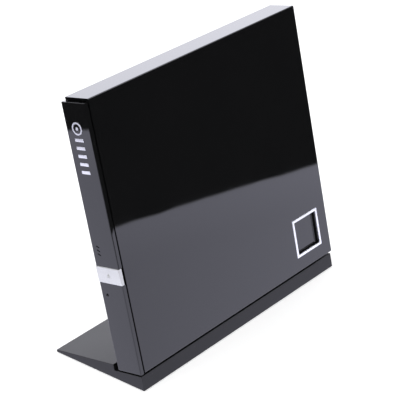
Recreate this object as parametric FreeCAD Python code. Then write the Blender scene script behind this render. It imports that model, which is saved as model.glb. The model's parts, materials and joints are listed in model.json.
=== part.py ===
"""External optical disc drive standing on its side edge in a wedge-shaped stand.

The drive is drawn lying flat: X across its width, Y from the bezel (front) to the rear wall,
Z from the bottom cover up to the glossy top cover.  stand_up() then turns it onto its +X edge
and leans it back, so in the finished part Y still runs front to rear, +Z is up and the glossy
cover faces +X.  The origin is the centre of the part's footprint on the table.  Units: mm.
"""
import FreeCAD
import Part
import math
import os

V = FreeCAD.Vector
UP = V(0, 0, 1)
ALONG_X = V(1, 0, 0)
ALONG_Y = V(0, 1, 0)

# ---- housing ------------------------------------------------------------------------------
DRIVE_DEPTH = 165.0        # bezel face to rear wall
DRIVE_WIDTH = 148.0        # becomes the height when the drive stands on its edge
WALL = 1.5                 # moulded wall of both covers
UNIT_THICK = 12.7          # the slim drive unit inside
UNIT_LIFT = 0.4            # unit above the bottom cover's inner face
UNIT_HEADROOM = 0.3        # glossy cover's inner face above the unit
DRIVE_THICK = WALL * 2 + UNIT_LIFT + UNIT_THICK + UNIT_HEADROOM
EDGE_ROUND = 0.7           # softened outer edges of the top cover
SEAM = 0.1                 # gap round a lid or insert that drops into its seat
COVER_FOOT_R = 5.0
COVER_FOOT_H = 3.1
COVER_FOOT_IN = 6.0        # foot centre from the cover's side edge
COVER_FOOT_FRONT = 9.5     # foot centre behind the shell's front edge
COVER_FOOT_REAR = 10.0
BOSS_R = 2.6
SCREW_R = 1.0
SCREW_HEAD_R = 1.9
SCREW_HEAD_H = 0.9
SCREW_LONG = 9.0
SCREW_FIT = 0.05           # radial gap of a screw in its hole

# ---- square recess and its metal trim ring ------------------------------------------------
TRIM_OUTER = 22.7
TRIM_BAND = 1.6
TRIM_THICK = 1.2
TRIM_PROUD = 0.15
TRIM_FROM_REAR = 8.1       # ring's rear edge to the drive's rear face
TRIM_FROM_EDGE = 8.1       # ring's lower edge to the drive's lower edge
RECESS_DEPTH = 2.0

# ---- bezel, eject button, lights ----------------------------------------------------------
BEZEL_THICK = 2.3
BEZEL_GAP = 0.9            # bezel's back face to the shell
BEZEL_TOP_DROP = 1.5       # the bezel ends this far below the shell's upper edge
BEZEL_CHAMFER = 0.5
BUTTON_LENGTH = 8.9
BUTTON_FROM_EDGE = 50.6    # lower edge of the drive to the button's lower edge
BUTTON_PROUD = 0.3
BUTTON_PLATE = 1.2
BUTTON_TRAVEL = 0.6
BUTTON_LEG = 1.0           # thickness of the leg that wraps round the bezel's side
BUTTON_FIT = 0.12
STEM_SIZE = 1.4
STEM_RISE = 2.6            # stem's axis above the tray's lower edge
STEM_BEHIND = 1.6          # stem's end behind the tray's front wall
SWITCH_SIZE = (5.0, 3.0, 3.8)
PLUNGER_R = 0.9
PLUNGER_LONG = 1.6
LIGHT_PITCH = 2.1
LIGHT_FROM_EDGE = 68.2     # middle light
LIGHT_RISE = 0.9           # lights above the tray's lower edge
LIGHT_R = 0.45
PINHOLE_FROM_EDGE = 43.7
PINHOLE_RISE = 0.5
PINHOLE_R = 0.6
MARK_R = 3.4
MARK_RING = 0.9
MARK_FROM_EDGE = 133.2
MARK_BARS = 5
MARK_BAR = 1.7
MARK_PITCH = 4.2
MARK_Z = 7.6
MARK_THICK = 0.15

# ---- slim drive unit ----------------------------------------------------------------------
UNIT_WIDTH = 128.0
UNIT_DEPTH = 126.1
UNIT_FROM_SHELL = 1.0      # unit's front edge behind the shell's front edge
SHEET = 0.6                # steel sheet of the unit's case and lid
BRACKET_WIDTH = 4.0
BRACKET_HEIGHT = 8.0
BRACKET_FIT = 0.05
BRACKET_FRONT = 14.0       # bracket's front end behind the unit's front
BRACKET_REAR = 4.5
BRACKET_SCREWS = (30.0, 38.0)    # screws inside the unit's front and rear
REST_WIDE = 2.0            # rests under the rear board
REST_LONG = 7.0
REST_FROM_REAR = 3.0

# ---- tray and its telescopic rails --------------------------------------------------------
TRAY_DEPTH = 124.1
TRAY_LIFT = 0.9            # tray's lower edge above the case floor
TRAY_THICK = 8.9
TRAY_WALL = 1.7
TRAY_SIDE = 2.5
FLOOR_THICK = 1.6
RAIL_WIDE = 2.0
RAIL_HIGH = 2.0
RAIL_FIT = 0.1
RAIL_LENGTH = 120.0
RAIL_LIP = 0.8             # how deep the rail sits in the tray's groove and in the fixed guide
GUIDE_WIDE = 1.5
GUIDE_HIGH = 4.0
DISC_R = 60.0
DISC_FIT = 0.6
SMALL_DISC_R = 40.0
SMALL_DISC_STEP = 0.8
DISC_THICK = 1.2
POCKET_DEPTH = 2.0
DISC_WEB = 1.5             # tray's front edge to the disc pocket
UNDER_COVER = 0.5

# ---- traverse: spindle, pickup sled, rods, lead screw --------------------------------------
SLED_ANGLE = 135.0         # direction the sled runs, from +X
FRAME_THICK = 0.8
FRAME_LIFT = 0.5           # traverse frame above the tray's lower edge
PLATTER_R = 13.0
WINDOW_MARGIN = 2.0        # window in the tray floor beyond the platter's rim
WINDOW_BACK = 4.0
FRAME_HALF = 16.3
FRAME_BACK = -18.0
FRAME_REACH = 65.0
ROD_R = 1.0
ROD_OFFSET = 14.3
ROD_RISE = 2.4             # rod and lead screw axis above the frame's lower face
LENS_START = 24.0
SLED_TRAVEL = 34.0
SLED_BEHIND = 8.0
SLED_AHEAD = 5.0
SLED_HALF = 15.7
SLED_HIGH = 3.5
SLED_GAP = 0.2
RUN_FIT = 0.05             # radial clearance of everything that turns or slides on a shaft
SCREW_OFFSET = 18.2
LEAD_R = 1.0
LEAD_FIT = 0.1
JOURNAL_R = 0.6
STEPPER_R = 2.3
STEPPER_LONG = 10.0
SPINDLE_R = 0.75
SPINDLE_SLEEVE_R = 2.2
ROTOR_R = 11.0
ROTOR_WALL = 0.7
MAGNET_THICK = 1.0
PLATTER_THICK = 1.0
PLATTER_PAD = 0.6
HUB_R = 7.4
HUB_HIGH = 3.1
CLAW_BUMP = 0.35
LENS_R = 2.0
DAMPER_R = 2.4
DAMPER_HIGH = 1.6
DAMPER_OUT = 2.7           # damper beyond the traverse frame's side
DAMPER_FAR_X = 45.0
POST_WIDE = 1.6            # posts that hold the rods and the cover
BACK_POST_Y = 12.0
BEARING_WIDE = 1.4

# ---- latch and ejector --------------------------------------------------------------------
LATCH_PIVOT = (42.0, 40.0)
LATCH_ARM = 12.7
LATCH_THICK = 1.2
LATCH_HOOK = 7.3
LATCH_TAIL = 12.5
LATCH_SWING = 12.0
LATCH_BAR = 2.0
LATCH_PLAY = 1.2
POST_R = 1.0
EJECTOR_X = 20.0
EJECTOR_R = 1.2
EJECTOR_LONG = 23.0
SPRING_SEAT = 18.5         # spring's seat before the tray's rear edge
SPRING_LONG = 7.0
EAR_THICK = 1.5
COLLAR_THICK = 0.8

# ---- electronics --------------------------------------------------------------------------
BOARD = 0.8
BRIDGE_BOARD = 1.0
BRIDGE_LIFT = 2.7
PILLAR_X = 52.0            # pillars and screws under the bridge board
USB_SIZE = (7.7, 9.0, 3.9)
USB_X = 10.0
JACK_SIZE = (9.0, 11.0, 6.5)
JACK_X = -8.0
JACK_BORE_R = 2.4
JACK_PIN_R = 0.65
PLUG_WIDE = 27.0
PLUG_HIGH = 4.0
PLUG_IN = 6.0              # plug inside the unit's side
TRAY_BOARD_X = (-20.0, 58.0)
TRAY_BOARD_DEEP = 17.0
RIBBON_WIDE = 6.0
RIBBON_END = 106.0
CABLE_SPAN = (32.0, 46.0, 62.0, 118.0)    # flat cable: X from and to, Y from and to
CABLE_THICK = 0.15
CABLE_LOOP = 0.9           # rise of the cable's folded-back leg
COIL_LONG = 11.0

# ---- stand --------------------------------------------------------------------------------
LEAN = 9.66                # degrees back from upright
HEEL_HEIGHT = 6.4          # drive's lower back edge above the table
LEDGE_GAP = 0.75           # thickness of the pads that the drive's edge rests on
NOTCH_WALL = 3.5           # low wall behind the drive
STAND_TAIL = 46.2          # wedge's thin end behind the drive's lower back edge
STAND_TIP = 1.65           # height of the wedge's thin end
STAND_SHORT = 1.8          # stand ends this far before the drive's rear face
STAND_WALL = 1.8
STAND_FOOT = 0.4           # the shell's rim clears the table by this
TONGUE_HIGH = 4.5
TONGUE_THICK = 3.0
TONGUE_LONG = 20.0
TONGUE_U = 7.0
TONGUE_FIT = 0.3
TONGUE_FROM_FRONT = (40.0, 105.0)
BASE_PLATE = 1.2
BASE_LIFT = 0.9
BASE_FIT = 0.2
BASE_SCREW_IN = 16.0       # base screws inside the stand's ends
BASE_FOOT_IN = 30.0        # feet inside the stand's ends
BALLAST_IN = 28.0
PAD_LONG = 20.0            # pads on the ledge
PAD_FROM_FRONT = 14.0
PAD_FROM_REAR = 35.0

# ---- places that follow from the sizes above -----------------------------------------------
HALF_W = DRIVE_WIDTH / 2
SHELL_FRONT = BEZEL_THICK + BEZEL_GAP
INNER_HALF = HALF_W - WALL
INNER_TOP = DRIVE_THICK - WALL
REAR_INNER = DRIVE_DEPTH - WALL
UNIT_Y0 = SHELL_FRONT + UNIT_FROM_SHELL
UNIT_Y1 = UNIT_Y0 + UNIT_DEPTH
UNIT_HALF = UNIT_WIDTH / 2
UNIT_Z0 = WALL + UNIT_LIFT
CASE_FLOOR = UNIT_Z0 + SHEET
CASE_TOP = UNIT_Z0 + UNIT_THICK - SHEET
CASE_IN = UNIT_HALF - SHEET
GUIDE_IN = CASE_IN - GUIDE_WIDE
RAIL_OUT = GUIDE_IN + RAIL_LIP - RAIL_FIT
RAIL_IN = RAIL_OUT - RAIL_WIDE
TRAY_HALF = RAIL_IN + RAIL_LIP - RAIL_FIT
TRAY_Y0 = BEZEL_THICK
TRAY_Y1 = TRAY_Y0 + TRAY_DEPTH
TRAY_Z0 = CASE_FLOOR + TRAY_LIFT
TRAY_TOP = TRAY_Z0 + TRAY_THICK
STEM_Z = TRAY_Z0 + STEM_RISE
LIGHT_Z = TRAY_Z0 + LIGHT_RISE
PINHOLE_Z = TRAY_Z0 + PINHOLE_RISE
POCKET_Z = TRAY_TOP - POCKET_DEPTH
FLOOR_UNDER = POCKET_Z - FLOOR_THICK
RAIL_Z = TRAY_Z0 + 1.8
DISC_Y = TRAY_Y0 + DISC_WEB + DISC_R + DISC_FIT
FRAME_Z = TRAY_Z0 + FRAME_LIFT
FRAME_TOP = FRAME_Z + FRAME_THICK
ROD_Z = FRAME_Z + ROD_RISE
SLED_Z = FRAME_TOP + SLED_GAP
SLED_TOP = SLED_Z + SLED_HIGH


# ---- small tools --------------------------------------------------------------------------
def block(x0, x1, y0, y1, z0, z1):
    """A box given by its lowest and highest corners."""
    return Part.makeBox(x1 - x0, y1 - y0, z1 - z0, V(x0, y0, z0))


def rod(radius, start, length, axis=UP):
    """A cylinder from a start point along an axis."""
    return Part.makeCylinder(radius, length, V(*start), axis)


def ring(outer, inner, start, height, axis=UP):
    """A flat ring or tube."""
    return rod(outer, start, height, axis).cut(rod(inner, start, height, axis))


def prism(points, y0, y1):
    """A solid with an outline in the XZ plane, drawn out along Y."""
    corners = [V(x, y0, z) for x, z in points]
    face = Part.Face(Part.makePolygon(corners + corners[:1]))
    return face.extrude(V(0, y1 - y0, 0))


def group(solids):
    """Several separate solids kept in one sub-part."""
    return Part.makeCompound(solids)


def joined(first, others):
    """One solid from pieces that overlap or share a face."""
    return first.fuse(others).removeSplitter()


def edges_where(shape, test):
    """The edges whose two ends both pass a test on their points."""
    return [e for e in shape.Edges if all(test(v.Point) for v in e.Vertexes)]


def near(a, b):
    return abs(a - b) < 1e-4


def mirrored(shape):
    """The same piece on the drive's other side."""
    return shape.mirror(V(0, 0, 0), ALONG_X)


def on_traverse(shape):
    """Turn a piece drawn along +X at the origin onto the sled's line through the disc's axis."""
    turned = shape.copy()
    turned.rotate(V(0, 0, 0), UP, SLED_ANGLE)
    turned.translate(V(0, DISC_Y, 0))
    return turned


def drive_frame():
    """Placement that stands the flat drive on its +X edge and leans it back in the stand."""
    lean = math.radians(LEAN)
    turn = FreeCAD.Rotation(ALONG_Y, 90.0 - LEAN)
    heel = V(HALF_W * math.sin(lean), 0, -HALF_W * math.cos(lean))
    return FreeCAD.Placement(V(*TABLE_SHIFT) + V(0, 0, HEEL_HEIGHT) - heel, turn)


def stand_point(u, w):
    """XZ point of the stand given in the leaning drive's own directions."""
    lean = math.radians(LEAN)
    x = u * math.cos(lean) - w * math.sin(lean)
    z = HEEL_HEIGHT + u * math.sin(lean) + w * math.cos(lean)
    return (x, z)


def stand_front():
    """Where the stand's front strip, flush with the glossy cover, meets the table."""
    lean = math.radians(LEAN)
    x, z = stand_point(DRIVE_THICK, -LEDGE_GAP)
    return x + (z - STAND_FOOT) * math.tan(lean)


TABLE_SHIFT = ((STAND_TAIL - stand_front()) / 2, -(DRIVE_DEPTH - BUTTON_PROUD) / 2, 0.0)


def stand_up(shape):
    """Move a finished flat piece into its place in the stand."""
    placed = shape.copy()
    placed.Placement = drive_frame().multiply(placed.Placement)
    return placed


def on_table(shape):
    """Move a piece drawn beside the drive's lower back edge over the part's origin."""
    moved = shape.copy()
    moved.translate(V(*TABLE_SHIFT))
    return moved


# ---- stand ----------------------------------------------------------------------------------
def stand_outline():
    tail_low = (-STAND_TAIL, STAND_FOOT)
    tail_top = (-STAND_TAIL, STAND_TIP)
    wall_top = stand_point(-COVER_FOOT_H, NOTCH_WALL - LEDGE_GAP)
    notch = stand_point(-COVER_FOOT_H, -LEDGE_GAP)
    ledge = stand_point(DRIVE_THICK, -LEDGE_GAP)
    toe = (stand_front(), STAND_FOOT)
    return [tail_low, tail_top, wall_top, notch, ledge, toe]


def tongue_box(y, fit):
    """A stand tongue, or with a fit the slot that it enters, in the flat drive's frame."""
    low = HALF_W - TONGUE_HIGH - fit
    high = HALF_W + LEDGE_GAP + STAND_WALL / 2
    z1 = TONGUE_U + TONGUE_THICK + fit
    return block(low, high, y - fit, y + TONGUE_LONG + fit, TONGUE_U - fit, z1)


def stand_hollow(top_gap):
    """Outline of the space under the stand's skin."""
    slope = (stand_outline()[2][1] - STAND_TIP) / (stand_outline()[2][0] + STAND_TAIL)
    thin = top_gap * math.sqrt(1 + slope * slope)
    back = -STAND_TAIL + (BASE_LIFT + BASE_PLATE + thin - STAND_TIP) / slope + BASE_FIT
    hump = stand_outline()[3][0] - top_gap * 1.4
    low_notch = stand_point(-COVER_FOOT_H - top_gap, -LEDGE_GAP - top_gap)
    low_ledge = stand_point(DRIVE_THICK - top_gap, -LEDGE_GAP - top_gap)
    toe = (stand_front() - top_gap * 1.1, 0.0)
    roof_back = STAND_TIP + (back + STAND_TAIL) * slope - thin
    roof_hump = STAND_TIP + (hump + STAND_TAIL) * slope - thin
    return [(back, 0.0), (back, roof_back), (hump, roof_hump), low_notch, low_ledge, toe]


def base_screw_places():
    back = stand_hollow(STAND_WALL)[0][0]
    length = DRIVE_DEPTH - STAND_SHORT
    for x in (back + 14.0, stand_front() - 8.0):
        for y in (BASE_SCREW_IN, length - BASE_SCREW_IN):
            yield x, y


def stand_parts():
    length = DRIVE_DEPTH - STAND_SHORT
    outer = prism(stand_outline(), 0.0, length)
    hollow = prism(stand_hollow(STAND_WALL), STAND_WALL, length - STAND_WALL)
    shell = outer.cut(hollow)
    plate_top = BASE_LIFT + BASE_PLATE
    bosses = []
    for x, y in base_screw_places():
        bosses.append(outer.common(rod(BOSS_R, (x, y, plate_top), HEEL_HEIGHT)))
    shell = joined(shell, bosses)
    shank_top = plate_top + BASE_PLATE
    for x, y in base_screw_places():
        shell = shell.cut(rod(SCREW_R - SCREW_FIT * 2, (x, y, plate_top), BASE_PLATE + SCREW_FIT))
    back = stand_hollow(STAND_WALL)[0][0] + BASE_FIT
    front = stand_front() - STAND_WALL * 1.1 - BASE_FIT - BASE_PLATE
    end = STAND_WALL + BASE_FIT
    plate = block(back, front, end, length - end, BASE_LIFT, plate_top)
    screws = []
    for x, y in base_screw_places():
        plate = plate.cut(rod(SCREW_R, (x, y, BASE_LIFT), BASE_PLATE))
        shank = rod(SCREW_R - SCREW_FIT * 3, (x, y, BASE_LIFT), shank_top - BASE_LIFT)
        head = rod(SCREW_HEAD_R, (x, y, BASE_LIFT - STAND_FOOT), STAND_FOOT)
        screws.append(shank.fuse(head).removeSplitter())
    ballast_x1 = -COVER_FOOT_H * 2 - STAND_WALL
    ballast = block(back + 20.0, ballast_x1, BALLAST_IN, length - BALLAST_IN, plate_top, shank_top)
    feet = []
    for x in (back + 6.0, front - 8.0):
        for y in (BASE_FOOT_IN, length - BASE_FOOT_IN):
            feet.append(rod(COVER_FOOT_R - 1.0, (x, y, 0.0), BASE_LIFT))
    parts = {
        "stand_shell": shell,
        "stand_base_plate": plate,
        "stand_base_screws": group(screws),
        "stand_ballast": ballast,
        "stand_feet": group(feet),
    }
    placed = {name: on_table(shape) for name, shape in parts.items()}
    tongues = [stand_up(tongue_box(y, 0.0)) for y in TONGUE_FROM_FRONT]
    placed["stand_shell"] = joined(placed["stand_shell"], tongues)
    pads = []
    for y in (PAD_FROM_FRONT, DRIVE_DEPTH - PAD_FROM_REAR):
        z1 = DRIVE_THICK - WALL * 2
        pads.append(block(HALF_W, HALF_W + LEDGE_GAP, y, y + PAD_LONG, WALL * 2, z1))
    placed["ledge_pads"] = stand_up(group(pads))
    return placed


# ---- housing ----------------------------------------------------------------------------------
def corner_places():
    """Centres of the four cover feet, with a screw and its boss over each."""
    for side in (-1, 1):
        for y in (SHELL_FRONT + COVER_FOOT_FRONT, DRIVE_DEPTH - COVER_FOOT_REAR):
            yield side * (HALF_W - COVER_FOOT_IN), y


def trim_corner():
    """Lowest corner (X, Y) of the square trim ring."""
    x1 = HALF_W - TRIM_FROM_EDGE
    y1 = DRIVE_DEPTH - TRIM_FROM_REAR
    return x1 - TRIM_OUTER, y1 - TRIM_OUTER


def square(size, inset, z0, z1, grow=0.0):
    """A square block centred in the trim ring's outline."""
    x, y = trim_corner()
    low = inset - grow
    return block(x + low, x + size - low, y + low, y + size - low, z0, z1)


def socket_mouth(middle_x, size, grow):
    """The opening in the rear wall for a socket on the bridge board."""
    wide, deep, high = size
    half = wide / 2 + grow
    z0 = board_top() - grow
    z1 = board_top() + high + grow
    return block(middle_x - half, middle_x + half, REAR_INNER - 1, DRIVE_DEPTH + 1, z0, z1)


def board_top():
    return WALL + BRIDGE_LIFT + BRIDGE_BOARD


def pillar_places():
    for x in (-PILLAR_X, PILLAR_X):
        for y in (UNIT_Y1 + 13.0, REAR_INNER - 4.5):
            yield x, y


def housing_parts():
    outer = block(-HALF_W, HALF_W, SHELL_FRONT, DRIVE_DEPTH, 0.0, DRIVE_THICK)
    top_edges = edges_where(outer, lambda p: near(p.z, DRIVE_THICK))
    rear_edges = edges_where(outer, lambda p: near(p.y, DRIVE_DEPTH))
    soft = [e for e in top_edges + rear_edges if not all(near(v.Point.y, SHELL_FRONT) for v in e.Vertexes)]
    soft = [e for e in soft if not all(near(v.Point.z, 0.0) for v in e.Vertexes)]
    unique = []
    for edge in soft:
        if not any(edge.isSame(kept) for kept in unique):
            unique.append(edge)
    top = outer.makeFillet(EDGE_ROUND, unique)
    top = top.cut(block(-INNER_HALF, INNER_HALF, SHELL_FRONT, REAR_INNER, 0.0, INNER_TOP))
    bosses = [rod(BOSS_R, (x, y, WALL), INNER_TOP - WALL) for x, y in corner_places()]
    tray_of_recess = square(TRIM_OUTER, 0.0, DRIVE_THICK - RECESS_DEPTH - WALL, INNER_TOP, WALL)
    top = joined(top, bosses + [tray_of_recess])
    top = top.cut(square(TRIM_OUTER, 0.0, DRIVE_THICK - TRIM_THICK, DRIVE_THICK, SEAM))
    top = top.cut(square(TRIM_OUTER, TRIM_BAND, DRIVE_THICK - RECESS_DEPTH, DRIVE_THICK))
    for x, y in corner_places():
        top = top.cut(rod(SCREW_R - SCREW_FIT, (x, y, WALL), SCREW_LONG))
    for y in TONGUE_FROM_FRONT:
        top = top.cut(tongue_box(y, TONGUE_FIT))
    top = top.cut(socket_mouth(USB_X, USB_SIZE, TONGUE_FIT))
    top = top.cut(socket_mouth(JACK_X, JACK_SIZE, TONGUE_FIT))

    half = INNER_HALF - SEAM
    bottom = block(-half, half, SHELL_FRONT, REAR_INNER - SEAM, 0.0, WALL)
    pillars = [rod(BOSS_R, (x, y, WALL), BRIDGE_LIFT) for x, y in pillar_places()]
    bottom = joined(bottom, pillars)
    screws = []
    for x, y in corner_places():
        bottom = bottom.cut(rod(SCREW_R + SCREW_FIT, (x, y, 0.0), WALL))
        bottom = bottom.cut(rod(SCREW_HEAD_R + SEAM, (x, y, 0.0), SCREW_HEAD_H))
        head = rod(SCREW_HEAD_R, (x, y, 0.0), SCREW_HEAD_H)
        shank = rod(SCREW_R - SCREW_FIT * 2, (x, y, 0.0), SCREW_LONG)
        screws.append(head.fuse(shank).removeSplitter())
    for x, y in pillar_places():
        bottom = bottom.cut(rod(SCREW_R - SCREW_FIT, (x, y, WALL), BRIDGE_LIFT))

    trim_z = DRIVE_THICK - TRIM_THICK
    trim = square(TRIM_OUTER, 0.0, trim_z, DRIVE_THICK + TRIM_PROUD)
    trim = trim.cut(square(TRIM_OUTER, TRIM_BAND, trim_z, DRIVE_THICK + TRIM_PROUD))
    feet = [rod(COVER_FOOT_R, (x, y, -COVER_FOOT_H), COVER_FOOT_H) for x, y in corner_places()]
    return {
        "top_cover": top,
        "bottom_cover": bottom,
        "cover_screws": group(screws),
        "trim_ring": trim,
        "cover_feet": group(feet),
    }


# ---- slim unit's case -------------------------------------------------------------------------
def bracket_screw_places():
    front, rear = BRACKET_SCREWS
    for y in (UNIT_Y0 + front, UNIT_Y1 - rear):
        yield y, UNIT_Z0 + BRACKET_HEIGHT / 2


def rear_plug_box(grow, z0, z1, y0, y1):
    x1 = UNIT_HALF - PLUG_IN
    return block(x1 - PLUG_WIDE - grow, x1 + grow, y0, y1, z0 - grow, z1 + grow)


def plug_z():
    return TRAY_Z0 + 1.6 + BOARD


def unit_parts():
    """The unit's case, lid, rail guides and side brackets, and the four bracket screws."""
    case = block(-UNIT_HALF, UNIT_HALF, UNIT_Y0, UNIT_Y1, UNIT_Z0, CASE_TOP)
    case = case.cut(block(-CASE_IN, CASE_IN, UNIT_Y0, UNIT_Y1 - SHEET, CASE_FLOOR, CASE_TOP))
    case = case.cut(rear_plug_box(SEAM, plug_z(), plug_z() + PLUG_HIGH, UNIT_Y1 - 2, UNIT_Y1 + 1))
    lid = block(-UNIT_HALF, UNIT_HALF, UNIT_Y0, UNIT_Y1, CASE_TOP, CASE_TOP + SHEET)
    guide_z = RAIL_Z - GUIDE_HIGH / 2
    guide = block(GUIDE_IN, CASE_IN, UNIT_Y0 + 1, UNIT_Y1 - 1.5, guide_z, guide_z + GUIDE_HIGH)
    groove = RAIL_HIGH / 2 + RAIL_FIT
    lip = GUIDE_IN + RAIL_LIP
    guide = guide.cut(block(GUIDE_IN, lip, UNIT_Y0, UNIT_Y1, RAIL_Z - groove, RAIL_Z + groove))
    post_x = LATCH_PIVOT[0] + LATCH_HOOK - POST_R
    post_y = LATCH_PIVOT[1] - LATCH_ARM - LATCH_PLAY - POST_R
    post = rod(POST_R, (post_x, post_y, UNIT_Z0), LATCH_THICK + TRAY_LIFT + SHEET * 2)
    x1 = UNIT_HALF - PLUG_IN
    rests = []
    for x in (x1 - PLUG_WIDE, x1 - REST_WIDE):
        y1 = UNIT_Y1 - REST_FROM_REAR
        rests.append(block(x, x + REST_WIDE, y1 - REST_LONG, y1, UNIT_Z0, plug_z() - BOARD))
    case = joined(case, [post] + rests)

    x0 = UNIT_HALF + BRACKET_FIT
    y0 = UNIT_Y0 + BRACKET_FRONT
    y1 = UNIT_Y1 - BRACKET_REAR
    bracket = block(x0, x0 + BRACKET_WIDTH, y0, y1, WALL, WALL + BRACKET_HEIGHT)
    screws = []
    for y, z in bracket_screw_places():
        hole = rod(SCREW_R + SCREW_FIT, (CASE_IN - 0.01, y, z), BRACKET_WIDTH + 1, ALONG_X)
        bracket = bracket.cut(hole)
        case = case.cut(hole).cut(mirrored(hole))
        shank = rod(SCREW_R, (CASE_IN + SCREW_FIT, y, z), x0 + BRACKET_WIDTH - CASE_IN, ALONG_X)
        head = rod(SCREW_HEAD_R, (x0 + BRACKET_WIDTH, y, z), SCREW_HEAD_H, ALONG_X)
        screws.append(head.fuse(shank).removeSplitter())
    both = screws + [mirrored(s) for s in screws]
    return {
        "unit_case": case,
        "unit_lid": lid,
        "rail_guides": group([guide, mirrored(guide)]),
        "side_brackets": group([bracket, mirrored(bracket)]),
    }, both


# ---- tray -----------------------------------------------------------------------------------
def button_span(fit):
    """X range of the eject button, widened by a fit."""
    x1 = HALF_W - BUTTON_FROM_EDGE
    return x1 - BUTTON_LENGTH - fit, x1 + fit


def light_places():
    middle = HALF_W - LIGHT_FROM_EDGE
    return [middle - LIGHT_PITCH, middle, middle + LIGHT_PITCH]


def opening_outline(inset):
    """Half-width and ends of the traverse's window in the tray floor."""
    half = PLATTER_R + WINDOW_MARGIN - inset
    return inset - PLATTER_R - WINDOW_BACK, FRAME_REACH - 3.0 - inset, half


def notch_box(z0, z1):
    """The rear corner of the tray that is left open for the fixed rear board."""
    x1 = UNIT_HALF - 4.8
    return block(x1 - PLUG_WIDE - 2.7, x1, TRAY_Y1 - 7.9, TRAY_Y1 + 1, z0, z1)


def post_lane(y0, z1):
    """The lane under the tray along which the latch post passes."""
    x = LATCH_PIVOT[0] + LATCH_HOOK - POST_R
    return block(x - POST_R - 0.4, x + POST_R + 0.4, y0, TRAY_Y1 + 1, TRAY_Z0 - UNDER_COVER, z1)


def damper_places():
    y = FRAME_HALF + DAMPER_OUT
    return [(FRAME_BACK + 5.0, y), (FRAME_BACK + 5.0, -y), (DAMPER_FAR_X, 0.1 - y)]


def tray_moulding():
    tray = block(-TRAY_HALF, TRAY_HALF, TRAY_Y0, TRAY_Y1, TRAY_Z0, TRAY_TOP)
    inside = TRAY_HALF - TRAY_SIDE
    back = TRAY_Y1 - TRAY_WALL / 1.2
    tray = tray.cut(block(-inside, inside, TRAY_Y0 + TRAY_WALL, back, TRAY_Z0, FLOOR_UNDER))
    tray = tray.cut(rod(DISC_R + DISC_FIT, (0, DISC_Y, POCKET_Z), POCKET_DEPTH))
    tray = tray.cut(rod(SMALL_DISC_R + DISC_FIT, (0, DISC_Y, POCKET_Z - SMALL_DISC_STEP), SMALL_DISC_STEP))
    x0, x1, half = opening_outline(0.0)
    tray = tray.cut(on_traverse(block(x0, x1, -half, half, FLOOR_UNDER, TRAY_TOP)))
    groove = RAIL_HIGH / 2 + RAIL_FIT
    lip = TRAY_HALF - RAIL_LIP
    cut = block(lip, TRAY_HALF, TRAY_Y0, TRAY_Y1, RAIL_Z - groove, RAIL_Z + groove)
    tray = tray.cut(cut).cut(mirrored(cut))
    tray = tray.cut(notch_box(TRAY_Z0, plug_z() + PLUG_HIGH + TONGUE_FIT))
    tray = tray.cut(post_lane(TRAY_Y1 - 3.0, TRAY_Z0 + 2.4))
    boss_z = FRAME_TOP + DAMPER_HIGH
    for x, y in damper_places():
        boss = rod(DAMPER_R - 0.2, (x, y, boss_z), FLOOR_UNDER - boss_z)
        tray = tray.fuse(on_traverse(boss))
    px, py = LATCH_PIVOT
    lever_top = SLED_Z - 0.9 + LATCH_THICK + RUN_FIT
    tray = tray.fuse(rod(2.2, (px, py, lever_top), FLOOR_UNDER - lever_top))
    ear_half = EJECTOR_R + 1.3
    ear_y = TRAY_Y1 - SPRING_SEAT
    ear = block(
        EJECTOR_X - ear_half, EJECTOR_X + ear_half, ear_y - EAR_THICK, ear_y, TRAY_Z0, FLOOR_UNDER)
    tray = tray.fuse(ear).removeSplitter()
    lane_y = ear_y - EAR_THICK - 1.0
    lane = rod(EJECTOR_R + RAIL_FIT, (EJECTOR_X, lane_y, ROD_Z), TRAY_Y1 + 4.0 - lane_y, ALONG_Y)
    tray = tray.cut(lane)
    for x, y in damper_places():
        hole = rod(SCREW_R - SCREW_FIT, (x, y, FRAME_TOP), FLOOR_UNDER - FRAME_TOP - 0.4)
        tray = tray.cut(on_traverse(hole))
    tray = tray.cut(rod(SCREW_R, (px, py, TRAY_Z0), FLOOR_UNDER - TRAY_Z0 - 1.0))
    x = button_middle()
    stem = STEM_SIZE / 2 + TONGUE_FIT
    wall_y = TRAY_Y0 + TRAY_WALL
    tray = tray.cut(block(x - stem, x + stem, TRAY_Y0, wall_y, STEM_Z - stem, STEM_Z + stem))
    for light in light_places():
        tray = tray.cut(rod(LIGHT_R + SEAM, (light, TRAY_Y0, LIGHT_Z), TRAY_WALL, ALONG_Y))
    hole_x = HALF_W - PINHOLE_FROM_EDGE
    half = PINHOLE_R + SEAM
    return tray.cut(block(hole_x - half, hole_x + half, TRAY_Y0, wall_y, TRAY_Z0, PINHOLE_Z + half))


def button_middle():
    x0, x1 = button_span(0.0)
    return (x0 + x1) / 2


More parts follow.
